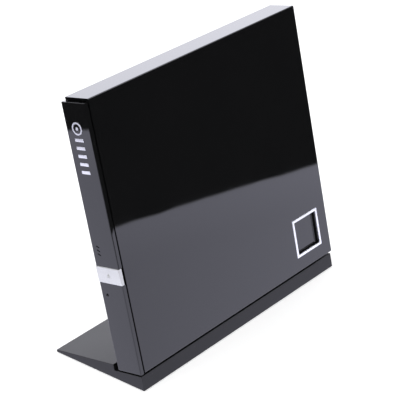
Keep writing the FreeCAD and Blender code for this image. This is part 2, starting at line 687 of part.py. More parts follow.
def bezel_parts():
    x0 = -HALF_W + BEZEL_TOP_DROP
    bezel = block(x0, HALF_W, 0.0, BEZEL_THICK, 0.0, DRIVE_THICK)
    rim = edges_where(bezel, lambda p: near(p.y, 0.0))
    bezel = bezel.makeChamfer(BEZEL_CHAMFER, rim)
    b0, b1 = button_span(BUTTON_FIT)
    seat = BUTTON_PLATE - BUTTON_PROUD + BUTTON_TRAVEL + BUTTON_FIT
    bezel = bezel.cut(block(b0, b1, 0.0, seat, 0.0, DRIVE_THICK))
    leg_z = DRIVE_THICK - BUTTON_LEG - BUTTON_FIT
    bezel = bezel.cut(block(b0, b1, 0.0, BEZEL_THICK, leg_z, DRIVE_THICK))
    stem = STEM_SIZE / 2 + TONGUE_FIT
    x = button_middle()
    bezel = bezel.cut(block(x - stem, x + stem, 0.0, BEZEL_THICK, STEM_Z - stem, STEM_Z + stem))
    pins = []
    for light in light_places():
        bezel = bezel.cut(rod(LIGHT_R + SCREW_FIT, (light, 0.0, LIGHT_Z), BEZEL_THICK, ALONG_Y))
        pins.append(rod(LIGHT_R, (light, 0.0, LIGHT_Z), BEZEL_THICK + TRAY_WALL, ALONG_Y))
    first, last = light_places()[0] - 0.8, light_places()[-1] + 0.8
    back = BEZEL_THICK + TRAY_WALL
    bar = block(first, last, back, back + 1.0, LIGHT_Z - 0.6, LIGHT_Z + 0.6)
    hole_x = HALF_W - PINHOLE_FROM_EDGE
    bezel = bezel.cut(rod(PINHOLE_R, (hole_x, 0.0, PINHOLE_Z), BEZEL_THICK, ALONG_Y))
    mark_x = HALF_W - MARK_FROM_EDGE
    mark = ring(MARK_R, MARK_R - MARK_RING, (mark_x, -MARK_THICK, MARK_Z), MARK_THICK, ALONG_Y)
    dot = rod(MARK_RING, (mark_x, -MARK_THICK, MARK_Z), MARK_THICK, ALONG_Y)
    bars = []
    bar_half = MARK_R - MARK_RING / 2
    for step in range(MARK_BARS):
        near_x = mark_x + MARK_R + MARK_BAR + step * MARK_PITCH
        low_z = MARK_Z - bar_half
        bars.append(block(near_x, near_x + MARK_BAR, -MARK_THICK, 0.0, low_z, MARK_Z + bar_half))
    return {
        "tray_bezel": bezel,
        "light_pipe": joined(bar, pins),
        "bezel_mark": group([mark, dot] + bars),
    }


def button_parts():
    x0, x1 = button_span(0.0)
    front = -BUTTON_PROUD
    plate = block(x0, x1, front, front + BUTTON_PLATE, 0.0, DRIVE_THICK)
    rim = edges_where(plate, lambda p: near(p.y, front))
    plate = plate.makeChamfer(BUTTON_PROUD, rim)
    leg_y = BEZEL_THICK - BUTTON_TRAVEL
    leg_z = DRIVE_THICK - BUTTON_LEG
    leg = block(x0, x1, front + BUTTON_PLATE, leg_y, leg_z, DRIVE_THICK)
    x = button_middle()
    half = STEM_SIZE / 2
    stem_end = BEZEL_THICK + TRAY_WALL + STEM_BEHIND
    stem = block(x - half, x + half, front + BUTTON_PLATE, stem_end, STEM_Z - half, STEM_Z + half)
    plunger = rod(PLUNGER_R, (x, stem_end, STEM_Z), PLUNGER_LONG, ALONG_Y)
    return {"eject_button": joined(plate, [leg, stem]), "switch_plunger": plunger}


# ---- traverse, drawn with the sled's line along +X and the disc's axis at the origin -----------
def traverse_parts():
    frame = block(FRAME_BACK, FRAME_REACH, -FRAME_HALF, FRAME_HALF, FRAME_Z, FRAME_TOP)
    shelf = block(-8.0, FRAME_REACH - 4.0, FRAME_HALF, SCREW_OFFSET + 2.4, FRAME_Z, FRAME_TOP)
    ears = [rod(2.9, (x, y, FRAME_Z), FRAME_THICK) for x, y in damper_places()]
    post_half = 1.6
    post_top = ROD_Z + 1.7
    inner_x = LENS_START - SLED_BEHIND - 3.8
    outer_x = LENS_START + SLED_TRAVEL + SLED_AHEAD + 0.4
    posts = []
    for side in (-1, 1):
        y = side * ROD_OFFSET
        for x in (inner_x, outer_x):
            posts.append(block(x, x + POST_WIDE, y - post_half, y + post_half, FRAME_TOP, post_top))
        y0 = min(side * (ROD_OFFSET - post_half), side * (ROD_OFFSET + 0.2))
        y1 = y0 + post_half + 0.2
        posts.append(block(inner_x, inner_x + POST_WIDE, y0, y1, FRAME_TOP, cover_z()))
        back_x = FRAME_BACK + 2.0
        y0 = side * BACK_POST_Y - 1.5
        posts.append(block(back_x, back_x + POST_WIDE, y0, y0 + 3.0, FRAME_TOP, cover_z()))
    bearing_x = outer_x - 4.0
    y0 = SCREW_OFFSET - post_half
    y1 = SCREW_OFFSET + post_half
    posts.append(block(bearing_x, bearing_x + BEARING_WIDE, y0, y1, FRAME_TOP, post_top))
    frame = joined(frame, [shelf] + ears + posts)
    frame = frame.cut(rod(STEPPER_R + 0.2, (-1.0, SCREW_OFFSET, ROD_Z), STEPPER_LONG + 2.0, ALONG_X))
    for x, y in damper_places():
        frame = frame.cut(rod(SCREW_R + 0.3, (x, y, FRAME_Z), FRAME_THICK))
    for side in (-1, 1):
        start = (inner_x + 0.4, side * ROD_OFFSET, ROD_Z)
        frame = frame.cut(rod(ROD_R + SCREW_FIT / 2, start, outer_x - inner_x + 0.8, ALONG_X))
    bearing = (bearing_x, SCREW_OFFSET, ROD_Z)
    frame = frame.cut(rod(JOURNAL_R + RUN_FIT, bearing, BEARING_WIDE, ALONG_X))
    rods = []
    for side in (-1, 1):
        start = (inner_x + 0.5, side * ROD_OFFSET, ROD_Z)
        rods.append(rod(ROD_R, start, outer_x - inner_x + 0.6, ALONG_X))

    x0, x1, half = opening_outline(0.4)
    cover = block(x0, x1, -half, half, cover_z(), cover_z() + UNDER_COVER)
    cover = cover.cut(rod(PLATTER_R + DISC_FIT, (0, 0, cover_z()), UNDER_COVER))
    cover = cover.cut(block(LENS_START - 5.5, x1, -5.5, 5.5, cover_z(), cover_z() + UNDER_COVER))
    dampers = []
    screws = []
    for x, y in damper_places():
        dampers.append(ring(DAMPER_R, SCREW_R + 0.1, (x, y, FRAME_TOP), DAMPER_HIGH))
        head = rod(SCREW_HEAD_R - 0.1, (x, y, FRAME_Z - 0.4), 0.4)
        shank = rod(SCREW_R - SCREW_FIT * 2, (x, y, FRAME_Z - 0.4), FLOOR_UNDER - FRAME_Z - 0.1)
        screws.append(head.fuse(shank).removeSplitter())
    stepper = rod(STEPPER_R, (0.0, SCREW_OFFSET, ROD_Z), STEPPER_LONG, ALONG_X)
    stepper = stepper.cut(rod(JOURNAL_R + RUN_FIT, (STEPPER_LONG - 2.0, SCREW_OFFSET, ROD_Z), 2.0, ALONG_X))

    base = rod(12.0, (0, 0, FRAME_TOP), SHEET)
    sleeve_top = FRAME_TOP + SHEET + 2.9
    sleeve = rod(SPINDLE_SLEEVE_R, (0, 0, FRAME_TOP), sleeve_top - FRAME_TOP)
    base = joined(base, [sleeve])
    base = base.cut(rod(SPINDLE_R + RUN_FIT, (0, 0, FRAME_TOP + 0.3), HUB_HIGH + 2))
    stator = ring(8.5, SPINDLE_SLEEVE_R + SCREW_FIT, (0, 0, FRAME_TOP + SHEET), 2.3)
    for tooth in range(9):
        slot = block(4.6, 7.4, -0.45, 0.45, FRAME_TOP + SHEET, FRAME_TOP + 3.2)
        slot.rotate(V(0, 0, 0), UP, tooth * 40.0)
        stator = stator.cut(slot)
    parts = {
        "traverse_frame": frame,
        "guide_rods": group(rods),
        "traverse_cover": cover,
        "dampers": group(dampers),
        "damper_screws": group(screws),
        "stepper_motor": stepper,
        "spindle_base": base,
        "spindle_stator": stator,
    }
    return {name: on_traverse(shape) for name, shape in parts.items()}


def cover_z():
    """Lower face of the plate that closes the traverse's window in the tray floor."""
    return FLOOR_UNDER + 0.6


def platter_z():
    """Lower face of the disc platter."""
    return cover_z() + UNDER_COVER - 0.6


def turntable_parts():
    cup_low = FRAME_TOP + SHEET + 0.4
    cup_top = platter_z()
    cup = rod(ROTOR_R, (0, 0, cup_low), cup_top - cup_low)
    cup = cup.cut(rod(ROTOR_R - ROTOR_WALL, (0, 0, cup_low), cup_top - cup_low - ROTOR_WALL))
    magnet_r = ROTOR_R - ROTOR_WALL - SCREW_FIT
    magnet_z = cup_low + 0.2
    magnet_high = cup_top - ROTOR_WALL - magnet_z
    magnet = ring(magnet_r, magnet_r - MAGNET_THICK, (0, 0, magnet_z), magnet_high)
    shaft = rod(SPINDLE_R, (0, 0, FRAME_TOP + 0.4), cup_top - FRAME_TOP - 0.4)
    cup = joined(cup, [shaft])
    platter = rod(PLATTER_R, (0, 0, cup_top), PLATTER_THICK)
    pad_z = cup_top + PLATTER_THICK
    hub = rod(HUB_R, (0, 0, pad_z), HUB_HIGH)
    hub_rim = [e for e in hub.Edges if all(near(v.Point.z, pad_z + HUB_HIGH) for v in e.Vertexes)]
    hub = hub.makeChamfer(0.7, hub_rim[:1])
    claw_z = pad_z + PLATTER_PAD + DISC_THICK + 0.05
    slits = []
    bumps = []
    for turn in (0.0, 120.0, 240.0):
        for side in (-1, 1):
            slit = block(3.6, HUB_R + 1, side * 1.6 - 0.2, side * 1.6 + 0.2, pad_z + 0.4, pad_z + HUB_HIGH)
            slit.rotate(V(0, 0, 0), UP, turn)
            slits.append(slit)
        bump = block(HUB_R - 0.6, HUB_R + CLAW_BUMP, -1.2, 1.2, claw_z, claw_z + 0.5)
        bump.rotate(V(0, 0, 0), UP, turn)
        bumps.append(bump)
    platter = joined(platter, [hub] + bumps)
    for slit in slits:
        platter = platter.cut(slit)
    pad = ring(PLATTER_R - 0.2, HUB_R + 2.6, (0, 0, pad_z), PLATTER_PAD)
    parts = {
        "turntable": platter,
        "turntable_pad": pad,
        "spindle_rotor": cup,
        "rotor_magnet": magnet,
    }
    return {name: on_traverse(shape) for name, shape in parts.items()}


def pickup_parts():
    x0 = LENS_START - SLED_BEHIND
    x1 = LENS_START + SLED_AHEAD
    sled = block(x0, x1, -SLED_HALF, SLED_HALF, SLED_Z, SLED_TOP)
    for side in (-1, 1):
        bore = rod(ROD_R + RUN_FIT, (x0, side * ROD_OFFSET, ROD_Z), x1 - x0, ALONG_X)
        sled = sled.cut(bore)
    well = block(LENS_START - 4.2, LENS_START + 4.2, -5.2, 5.2, SLED_Z + 1.0, SLED_TOP)
    sled = sled.cut(well)
    magnets = []
    for side in (-1, 1):
        y = side * 4.4
        magnets.append(block(LENS_START - 3.0, LENS_START + 3.0, y - 0.6, y + 0.6, SLED_Z + 1.0, SLED_TOP))
    nut = block(LENS_START - 4.0, LENS_START, SLED_HALF, SCREW_OFFSET + 1.7, SLED_Z, SLED_TOP - 0.4)
    nut = nut.cut(rod(LEAD_R + LEAD_FIT, (LENS_START - 4.0, SCREW_OFFSET, ROD_Z), 4.0, ALONG_X))
    laser = block(x0 + 0.6, x0 + 3.0, -10.0, -4.0, SLED_TOP - 0.5, SLED_TOP + 0.5)
    sled = joined(sled, [laser])
    holder = block(LENS_START - 3.2, LENS_START + 3.2, -3.2, 3.2, SLED_Z + 1.8, SLED_TOP + 0.6)
    collar = rod(LENS_R + 0.8, (LENS_START, 0, SLED_TOP + 0.6), 0.7)
    holder = joined(holder, [collar])
    holder = holder.cut(rod(LENS_R + 0.02, (LENS_START, 0, SLED_TOP + 0.3), 1.4))
    holder = holder.cut(rod(LENS_R - 0.5, (LENS_START, 0, SLED_Z + 1.8), 4.0))
    dome = rod(LENS_R, (LENS_START, 0, SLED_TOP + 0.3), 0.9)
    rim = [e for e in dome.Edges if all(near(v.Point.z, SLED_TOP + 1.2) for v in e.Vertexes)]
    dome = dome.makeFillet(0.5, rim[:1])
    parts = {
        "pickup_sled": sled,
        "pickup_nut": nut,
        "pickup_magnets": group(magnets),
        "lens_holder": holder,
        "objective_lens": dome,
    }
    return {name: on_traverse(shape) for name, shape in parts.items()}


def lead_screw_part():
    start = STEPPER_LONG + 0.4
    end = LENS_START + SLED_TRAVEL + SLED_AHEAD + 0.4 - 4.0 - 0.2
    screw = rod(LEAD_R, (start, SCREW_OFFSET, ROD_Z), end - start, ALONG_X)
    journal_x = STEPPER_LONG - 1.8
    journal_long = end + BEARING_WIDE - journal_x
    journals = rod(JOURNAL_R, (journal_x, SCREW_OFFSET, ROD_Z), journal_long, ALONG_X)
    return {"lead_screw": on_traverse(joined(screw, [journals]))}


# ---- latch, ejector, rails ---------------------------------------------------------------------
def latch_parts():
    px, py = LATCH_PIVOT
    z = SLED_Z - 0.9
    half = LATCH_BAR / 2
    arm = block(px - half, px + half, py - LATCH_ARM, py, z, z + LATCH_THICK)
    hook_y = py - LATCH_ARM
    hook = block(px - half, px + LATCH_HOOK, hook_y, hook_y + LATCH_BAR, z, z + LATCH_THICK)
    tail = block(px - LATCH_TAIL, px, py - half, py + half, z, z + LATCH_THICK)
    eye = rod(2.4, (px, py, z), LATCH_THICK)
    lever = joined(arm, [hook, tail, eye])
    lever = lever.cut(rod(SCREW_R, (px, py, z), LATCH_THICK))
    lever.rotate(V(px, py, 0), UP, -LATCH_SWING)
    pin = rod(SCREW_R - RUN_FIT, (px, py, z - 0.1), 3.6)
    head = rod(SCREW_HEAD_R, (px, py, z - 0.5), 0.4)
    return {"latch_lever": lever, "latch_pin": joined(pin, [head])}


def ejector_parts():
    end = UNIT_Y1 - SHEET - SEAM
    start = end - EJECTOR_LONG
    plunger = rod(EJECTOR_R, (EJECTOR_X, start, ROD_Z), EJECTOR_LONG, ALONG_Y)
    low = TRAY_Y1 - SPRING_SEAT
    collar_y = low + SPRING_LONG
    collar = rod(EJECTOR_R + 0.9, (EJECTOR_X, collar_y, ROD_Z), COLLAR_THICK, ALONG_Y)
    spring = ring(EJECTOR_R + 0.7, EJECTOR_R + 0.3, (EJECTOR_X, low, ROD_Z), SPRING_LONG, ALONG_Y)
    return {"eject_plunger": joined(plunger, [collar]), "eject_spring": spring}


def rail_parts():
    y0 = UNIT_Y0 + 1.8
    half = RAIL_HIGH / 2
    rail = block(RAIL_IN, RAIL_OUT, y0, y0 + RAIL_LENGTH, RAIL_Z - half, RAIL_Z + half)
    return {"right_rail": rail, "left_rail": mirrored(rail)}


# ---- electronics ---------------------------------------------------------------------------------
def tray_electronics():
    board_z = FLOOR_UNDER - BOARD
    board_y = TRAY_Y0 + 2.7
    board_end = board_y + TRAY_BOARD_DEEP
    board = block(TRAY_BOARD_X[0], TRAY_BOARD_X[1], board_y, board_end, board_z, FLOOR_UNDER)
    wide, deep, high = SWITCH_SIZE
    x = button_middle()
    y0 = BEZEL_THICK + TRAY_WALL + STEM_BEHIND + BUTTON_TRAVEL + SEAM
    switch = block(x - wide / 2, x + wide / 2, y0, y0 + deep, board_z - high, board_z)
    switch = switch.cut(rod(PLUNGER_R + RUN_FIT * 2, (x, y0, STEM_Z), deep - 0.5, ALONG_Y))
    led_y = BEZEL_THICK + TRAY_WALL + 1.3
    lights = light_places()
    led = block(lights[0] - 1.0, lights[-1] + 1.0, led_y, led_y + 1.6, LIGHT_Z - 0.7, board_z)
    chips = [
        led,
        block(-12.0, -2.0, TRAY_Y0 + 8.0, TRAY_Y0 + 18.0, board_z - 1.2, board_z),
        block(30.0, 36.0, TRAY_Y0 + 8.0, TRAY_Y0 + 14.0, board_z - 1.0, board_z),
        block(44.0, 48.0, TRAY_Y0 + 6.0, TRAY_Y0 + 9.0, board_z - 0.9, board_z),
    ]
    ribbon_x = TRAY_BOARD_X[1] - 7.0
    ribbon_z = FLOOR_UNDER - CABLE_THICK
    ribbon = block(ribbon_x, ribbon_x + RIBBON_WIDE, board_end, RIBBON_END, ribbon_z, FLOOR_UNDER)
    coil_y = LATCH_PIVOT[1] + 5.0
    coil = block(30.0, 38.0, coil_y, coil_y + COIL_LONG, FRAME_Z, FLOOR_UNDER)
    half = TRAY_HALF - TONGUE_FIT
    under_z = TRAY_Z0 - UNDER_COVER
    under = block(-half, half, TRAY_Y0 + TRAY_WALL, TRAY_Y1 - TONGUE_FIT, under_z, TRAY_Z0)
    post_y = LATCH_PIVOT[1] - LATCH_ARM - LATCH_PLAY - POST_R
    under = under.cut(post_lane(post_y - POST_R - 0.6, TRAY_Z0))
    under = under.cut(notch_box(under_z, TRAY_Z0))
    x0, x1, y0, y1 = CABLE_SPAN
    under = under.cut(block(x0 - 1, x1 + 1, y0 - 2, y1 + 8, under_z, TRAY_Z0))
    return {
        "tray_board": board,
        "eject_switch": switch,
        "tray_chips": group(chips),
        "tray_ribbon": ribbon,
        "latch_coil": coil,
        "tray_under_cover": under,
    }


def tray_cable():
    """Flat cable folded back on itself between the case floor and the tray."""
    x0, x1, y0, y1 = CABLE_SPAN
    thick = CABLE_THICK
    low = CASE_FLOOR + 0.03
    high = low + CABLE_LOOP
    legs = [block(x0, x1, y0, y1, low, low + thick), block(x0, x1, y0, y1 - 6, high, high + thick)]
    bend_r = (high + thick - low) / 2
    bend = ring(bend_r, bend_r - thick, (x0, y0, low + bend_r), x1 - x0, ALONG_X)
    bend = bend.common(block(x0, x1, y0 - bend_r, y0, low, low + 2 * bend_r))
    return {"tray_cable": joined(bend, legs)}


def rear_electronics():
    """The slim unit's fixed rear board, the bridge board behind it, and the board's four screws."""
    x1 = UNIT_HALF - PLUG_IN
    x0 = x1 - PLUG_WIDE
    z = plug_z()
    rear_board = block(x0 - 1.0, x1 + 0.5, UNIT_Y1 - 11.0, UNIT_Y1 - SHEET - SEAM, z - BOARD, z)
    plug = block(x0, x1, UNIT_Y1 - 6.0, UNIT_Y1 + 1.3, z, z + PLUG_HIGH)
    y0 = UNIT_Y1 + 1.4
    lower = WALL + BRIDGE_LIFT
    top = board_top()
    board = block(-56.0, 60.0, y0 + 2.0, REAR_INNER - 0.5, lower, top)
    for x, y in pillar_places():
        board = board.cut(rod(SCREW_R + SCREW_FIT, (x, y, lower), BRIDGE_BOARD))
    socket = block(x0 - 0.5, x1 + 0.5, y0, y0 + 6.5, top, z + PLUG_HIGH + 0.5)
    usb_w, usb_d, usb_h = USB_SIZE
    half = usb_w / 2
    face_y = REAR_INNER + 1
    usb = block(USB_X - half, USB_X + half, face_y - usb_d, face_y, top, top + usb_h)
    shell_wall = 0.4
    half = usb_w / 2 - shell_wall
    mouth_y = REAR_INNER + 1 - usb_d * 0.8
    mouth_top = top + usb_h - shell_wall
    mouth = block(
        USB_X - half, USB_X + half, mouth_y, REAR_INNER + 1, top + shell_wall, mouth_top)
    usb = usb.cut(mouth)
    tongue_z = top + usb_h / 2 - 0.3
    tongue = block(USB_X - 2.6, USB_X + 2.6, mouth_y, REAR_INNER, tongue_z, tongue_z + BOARD)
    usb = joined(usb, [tongue])
    jack_w, jack_d, jack_h = JACK_SIZE
    half = jack_w / 2
    jack = block(JACK_X - half, JACK_X + half, face_y - jack_d, face_y, top, top + jack_h)
    jack_z = top + jack_h / 2
    jack_y = REAR_INNER + 1 - jack_bore_long()
    jack = jack.cut(rod(JACK_BORE_R, (JACK_X, jack_y, jack_z), jack_bore_long(), ALONG_Y))
    pin = rod(JACK_PIN_R, (JACK_X, jack_y - 1.0, jack_z), jack_bore_long() + 0.4, ALONG_Y)
    jack = joined(jack, [pin])
    chips = [
        block(-34.0, -24.0, y0 + 8.0, y0 + 18.0, top, top + 1.2),
        block(-46.0, -41.0, y0 + 6.0, y0 + 9.0, top, top + 2.0),
        rod(3.0, (-40.0, y0 + 20.0, top), 5.4),
        rod(3.0, (24.0, y0 + 16.0, top), 5.4),
        block(30.0, 36.0, y0 + 12.0, y0 + 18.0, top, top + 2.4),
    ]
    screws = []
    for x, y in pillar_places():
        head = rod(SCREW_HEAD_R, (x, y, top), SCREW_HEAD_H)
        shank = rod(SCREW_R - SCREW_FIT * 2, (x, y, WALL), top - WALL)
        screws.append(joined(head, [shank]))
    return {
        "rear_board": rear_board,
        "unit_plug": plug,
        "bridge_board": board,
        "bridge_socket": socket,
        "usb_socket": usb,
        "power_jack": jack,
        "bridge_parts": group(chips),
    }, screws


def jack_bore_long():
    return JACK_SIZE[1] * 0.8


# ---- all sub-parts ----------------------------------------------------------------------------
def drive_parts():
    makers = [
        housing_parts, bezel_parts, button_parts, traverse_parts, turntable_parts, pickup_parts,
        lead_screw_part, latch_parts, ejector_parts, rail_parts, tray_electronics, tray_cable,
    ]
    parts = {"tray_moulding": tray_moulding()}
    for make in makers:
        parts.update(make())
    unit, bracket_screws = unit_parts()
    rear, board_screws = rear_electronics()
    parts.update(unit)
    parts.update(rear)
    parts["inner_screws"] = group(bracket_screws + board_screws)
    return {name: stand_up(shape) for name, shape in parts.items()}


def main():
    os.makedirs("parts", exist_ok=True)
    parts = stand_parts()
    parts.update(drive_parts())
    for name, shape in sorted(parts.items()):
        solids = shape.Solids
        bad = not solids or not shape.isValid() or any(s.Volume <= 0 for s in solids)
        print(name, len(solids), round(shape.Volume, 1), "BAD" if bad else "")
        solid = solids[0] if len(solids) == 1 else group(solids)
        solid.exportStep("parts/" + name + ".step")
    print(len(parts), "sub-parts")


main()
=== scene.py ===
# %% [markdown]
# # A slim disc drive standing in its desk stand
# The part that was drawn in CAD is loaded first and never moves.  Every piece made here is set
# round it in the same metres, so nothing has to be fitted by eye.

# %% Load the imported part
import json
import math

import bmesh
import bpy
from mathutils import Matrix, Vector


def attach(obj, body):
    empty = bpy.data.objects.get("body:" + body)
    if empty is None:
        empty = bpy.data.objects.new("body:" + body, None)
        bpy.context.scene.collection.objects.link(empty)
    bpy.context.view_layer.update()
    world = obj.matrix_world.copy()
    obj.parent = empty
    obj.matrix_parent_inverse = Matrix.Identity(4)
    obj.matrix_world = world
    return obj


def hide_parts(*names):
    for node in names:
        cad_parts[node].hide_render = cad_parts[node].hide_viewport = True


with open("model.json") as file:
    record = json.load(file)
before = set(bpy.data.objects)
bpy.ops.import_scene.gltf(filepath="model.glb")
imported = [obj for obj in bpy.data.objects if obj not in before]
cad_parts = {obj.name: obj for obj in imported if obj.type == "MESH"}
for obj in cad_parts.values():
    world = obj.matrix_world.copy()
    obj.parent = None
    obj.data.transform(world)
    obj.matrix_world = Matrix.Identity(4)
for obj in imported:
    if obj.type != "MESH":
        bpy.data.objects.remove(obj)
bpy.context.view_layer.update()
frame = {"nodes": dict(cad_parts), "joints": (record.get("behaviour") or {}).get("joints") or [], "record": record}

MM = 0.001
SHARP = math.radians(32)
nodes = frame["nodes"]
joints = {j["name"]: j for j in frame["joints"]}

# %% [markdown]
# ## The drive's own directions
# A designer draws this drive lying flat: X across it, Y from the bezel to the back, Z up from
# the bottom cover to the glossy one.  In the stand it is turned onto its edge and leans back.
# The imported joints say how: the drive lifts out along its width, and the disc turns about the
# glossy face's normal.  One matrix from flat millimetres to the leaning drive in metres lets
# every piece be drawn flat, with round numbers, and then stood up.

# %% Flat millimetres to the leaning drive
up_the_drive = Vector(joints["drive_lift"]["axis"]).normalized()
out_of_the_face = Vector(joints["disc_spin"]["axis"]).normalized()
LEAN_TURN = Matrix((-up_the_drive, Vector((0, 1, 0)), out_of_the_face)).transposed()


def box_along(name, to_flat):
    """Lowest and highest corners of a sub-part after a change of directions."""
    points = [to_flat @ v.co for v in nodes[name].data.vertices]
    low = Vector([min(p[axis] for p in points) for axis in range(3)])
    high = Vector([max(p[axis] for p in points) for axis in range(3)])
    return low, high


cover_low, cover_high = box_along("top_cover", LEAN_TURN.transposed())
bezel_low, _ = box_along("tray_bezel", LEAN_TURN.transposed())
flat_origin = Vector(((cover_low.x + cover_high.x) / 2, bezel_low.y, bezel_low.z))
DRIVE = Matrix.Translation(LEAN_TURN @ flat_origin) @ LEAN_TURN.to_4x4() @ Matrix.Scale(MM, 4)
DESK = Matrix.Scale(MM, 4)


def flat_box(name):
    """A sub-part's corners in the flat drive's millimetres."""
    return box_along(name, DRIVE.inverted())


print("glossy cover, flat, mm:", flat_box("top_cover"))

# %% [markdown]
# ## Small modelling tools
# Sheet-like and blocky mouldings start as a cube operator stretched between two corners.
# Round pieces are a half profile turned on a lathe, which is the spin operator.  A hole is a
# second closed shape taken away by the Boolean modifier.  No moulded edge is truly sharp, so
# the last step of most pieces is a narrow bevel: it is what catches the light along an edge.

# %% Blocks, lathe, carving and soft edges
def block(bm, low, high, turn=None):
    """A box between two corners, and its new vertices."""
    low = Vector(low)
    high = Vector(high)
    place = Matrix.Translation((low + high) / 2)
    if turn is not None:
        place = place @ turn
    place = place @ Matrix.Diagonal((*(high - low), 1.0))
    return bmesh.ops.create_cube(bm, size=1.0, matrix=place)["verts"]


def lathe(bm, profile, place=Matrix.Identity(4), steps=48):
    """A closed round solid from (radius, height) points that start and end on the axis."""
    verts = [bm.verts.new((radius, 0.0, height)) for radius, height in profile]
    edges = [bm.edges.new(pair) for pair in zip(verts, verts[1:])]
    before = set(bm.verts) - set(verts)
    bmesh.ops.spin(
        bm, geom=verts + edges, cent=(0, 0, 0), axis=(0, 0, 1), angle=math.tau, steps=steps,
        use_merge=True,
    )
    made = [v for v in bm.verts if v not in before]
    bmesh.ops.remove_doubles(bm, verts=made, dist=1e-4)
    made = [v for v in bm.verts if v not in before]
    bmesh.ops.transform(bm, matrix=place, verts=made)
    faces = list({f for v in made for f in v.link_faces})
    bmesh.ops.recalc_face_normals(bm, faces=faces)
    return made


def sharp_edges(bm, test=None, angle=SHARP):
    """Edges between two faces that meet at a real corner, and whose ends pass a test."""
    found = []
    for edge in bm.edges:
        if len(edge.link_faces) == 2 and edge.calc_face_angle(0.0) > angle:
            if test is None or all(test(v.co) for v in edge.verts):
                found.append(edge)
    return found


def soften(bm, width, segments=2, test=None, angle=SHARP):
    """Round the sharp edges, so that each one has a narrow highlight."""
    bmesh.ops.bevel(
        bm, geom=sharp_edges(bm, test, angle), offset=width, offset_type="OFFSET",
        segments=segments, profile=0.5, affect="EDGES", clamp_overlap=True, material=-1,
    )


def loose_object(bm, name):
    mesh = bpy.data.meshes.new(name)
    bm.to_mesh(mesh)
    bm.free()
    obj = bpy.data.objects.new(name, mesh)
    bpy.context.scene.collection.objects.link(obj)
    return obj


def carve(bm, cutter):
    """Take the cutter's shapes away from a closed piece, and give the result as a bmesh."""
    body = loose_object(bm, "carved")
    tool = loose_object(cutter, "cutter")
    cut = body.modifiers.new("carve", "BOOLEAN")
    cut.operation = "DIFFERENCE"
    cut.solver = "EXACT"
    cut.use_self = True
    cut.object = tool
    graph = bpy.context.evaluated_depsgraph_get()
    graph.update()
    made = bpy.data.meshes.new_from_object(body.evaluated_get(graph))
    out = bmesh.new()
    out.from_mesh(made)
    for obj in (body, tool):
        mesh = obj.data
        bpy.data.objects.remove(obj)
        bpy.data.meshes.remove(mesh)
    bpy.data.meshes.remove(made)
    bmesh.ops.remove_doubles(out, verts=out.verts, dist=1e-3)
    bmesh.ops.dissolve_limit(
        out, angle_limit=math.radians(0.4), verts=out.verts, edges=out.edges,
    )
    return out


def cad_copy(name, place):
    """A merged copy of a sub-part, its flat faces whole again, in drawing millimetres."""
    bm = bmesh.new()
    bm.from_mesh(nodes[name].data)
    bmesh.ops.transform(bm, matrix=place.inverted(), verts=bm.verts)
    bmesh.ops.remove_doubles(bm, verts=bm.verts, dist=2e-3)
    bmesh.ops.dissolve_limit(
        bm, angle_limit=math.radians(0.4), verts=bm.verts, edges=bm.edges,
    )
    return bm


def piece(bm, name, body, slot, place=DRIVE, stands_for=()):
    """Put a finished shape into the scene, on its CAD body and in its material slot."""
    bmesh.ops.transform(bm, matrix=place, verts=bm.verts)
    obj = loose_object(bm, name)
    mesh = obj.data
    mesh.materials.append(bpy.data.materials[slot])
    mesh.polygons.foreach_set("use_smooth", [True] * len(mesh.polygons))
    mesh.set_sharp_from_angle(angle=SHARP)
    even = obj.modifiers.new("even shading", "WEIGHTED_NORMAL")
    even.keep_sharp = True
    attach(obj, body)
    if stands_for:
        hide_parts(*stands_for)
    print(name, len(mesh.polygons), "faces")
    return obj


# %% [markdown]
# ## Shared surface effects
# Four effects come back in many of the finishes, so each is one node group with its own
# settings: the fine grain that a textured mould leaves, hairline scratches from wiping and
# handling, dust that settles on what faces up, and the paler rub along a corner.  A group gives
# out only masks and heights.  The shader that uses them stays in each material.

# %% A helper that wires node groups and materials
def link_value(tree, source, socket):
    """Feed a socket from another socket, or set it to a plain number."""
    if isinstance(source, bpy.types.NodeSocket):
        tree.links.new(source, socket)
    else:
        socket.default_value = source


def calc(tree, operation, first, second=0.0, third=0.0, clamp=False):
    """One Math node, and its result."""
    node = tree.nodes.new("ShaderNodeMath")
    node.operation = operation
    node.use_clamp = clamp
    for socket, source in zip(node.inputs, (first, second, third)):
        link_value(tree, source, socket)
    return node.outputs[0]


def ramp(tree, value, low, high, out_low=0.0, out_high=1.0, soft=True):
    """Map a range of a value onto another range, with soft ends."""
    node = tree.nodes.new("ShaderNodeMapRange")
    node.interpolation_type = "SMOOTHSTEP" if soft else "LINEAR"
    sources = (value, low, high, out_low, out_high)
    for socket, source in zip(node.inputs, sources):
        link_value(tree, source, socket)
    return node.outputs[0]


def object_place(tree, stretch=(1, 1, 1), turn=(0, 0, 0)):
    """Object coordinates, stretched and turned for a pattern with a direction."""
    coord = tree.nodes.new("ShaderNodeTexCoord")
    mapping = tree.nodes.new("ShaderNodeMapping")
    mapping.inputs["Scale"].default_value = stretch
    mapping.inputs["Rotation"].default_value = turn
    tree.links.new(coord.outputs["Object"], mapping.inputs["Vector"])
    return mapping.outputs[0]


def noise(tree, vector, scale, detail=2.0, roughness=0.5):
    node = tree.nodes.new("ShaderNodeTexNoise")
    tree.links.new(vector, node.inputs["Vector"])
    link_value(tree, scale, node.inputs["Scale"])
    node.inputs["Detail"].default_value = detail
    node.inputs["Roughness"].default_value = roughness
    return node.outputs["Fac"]


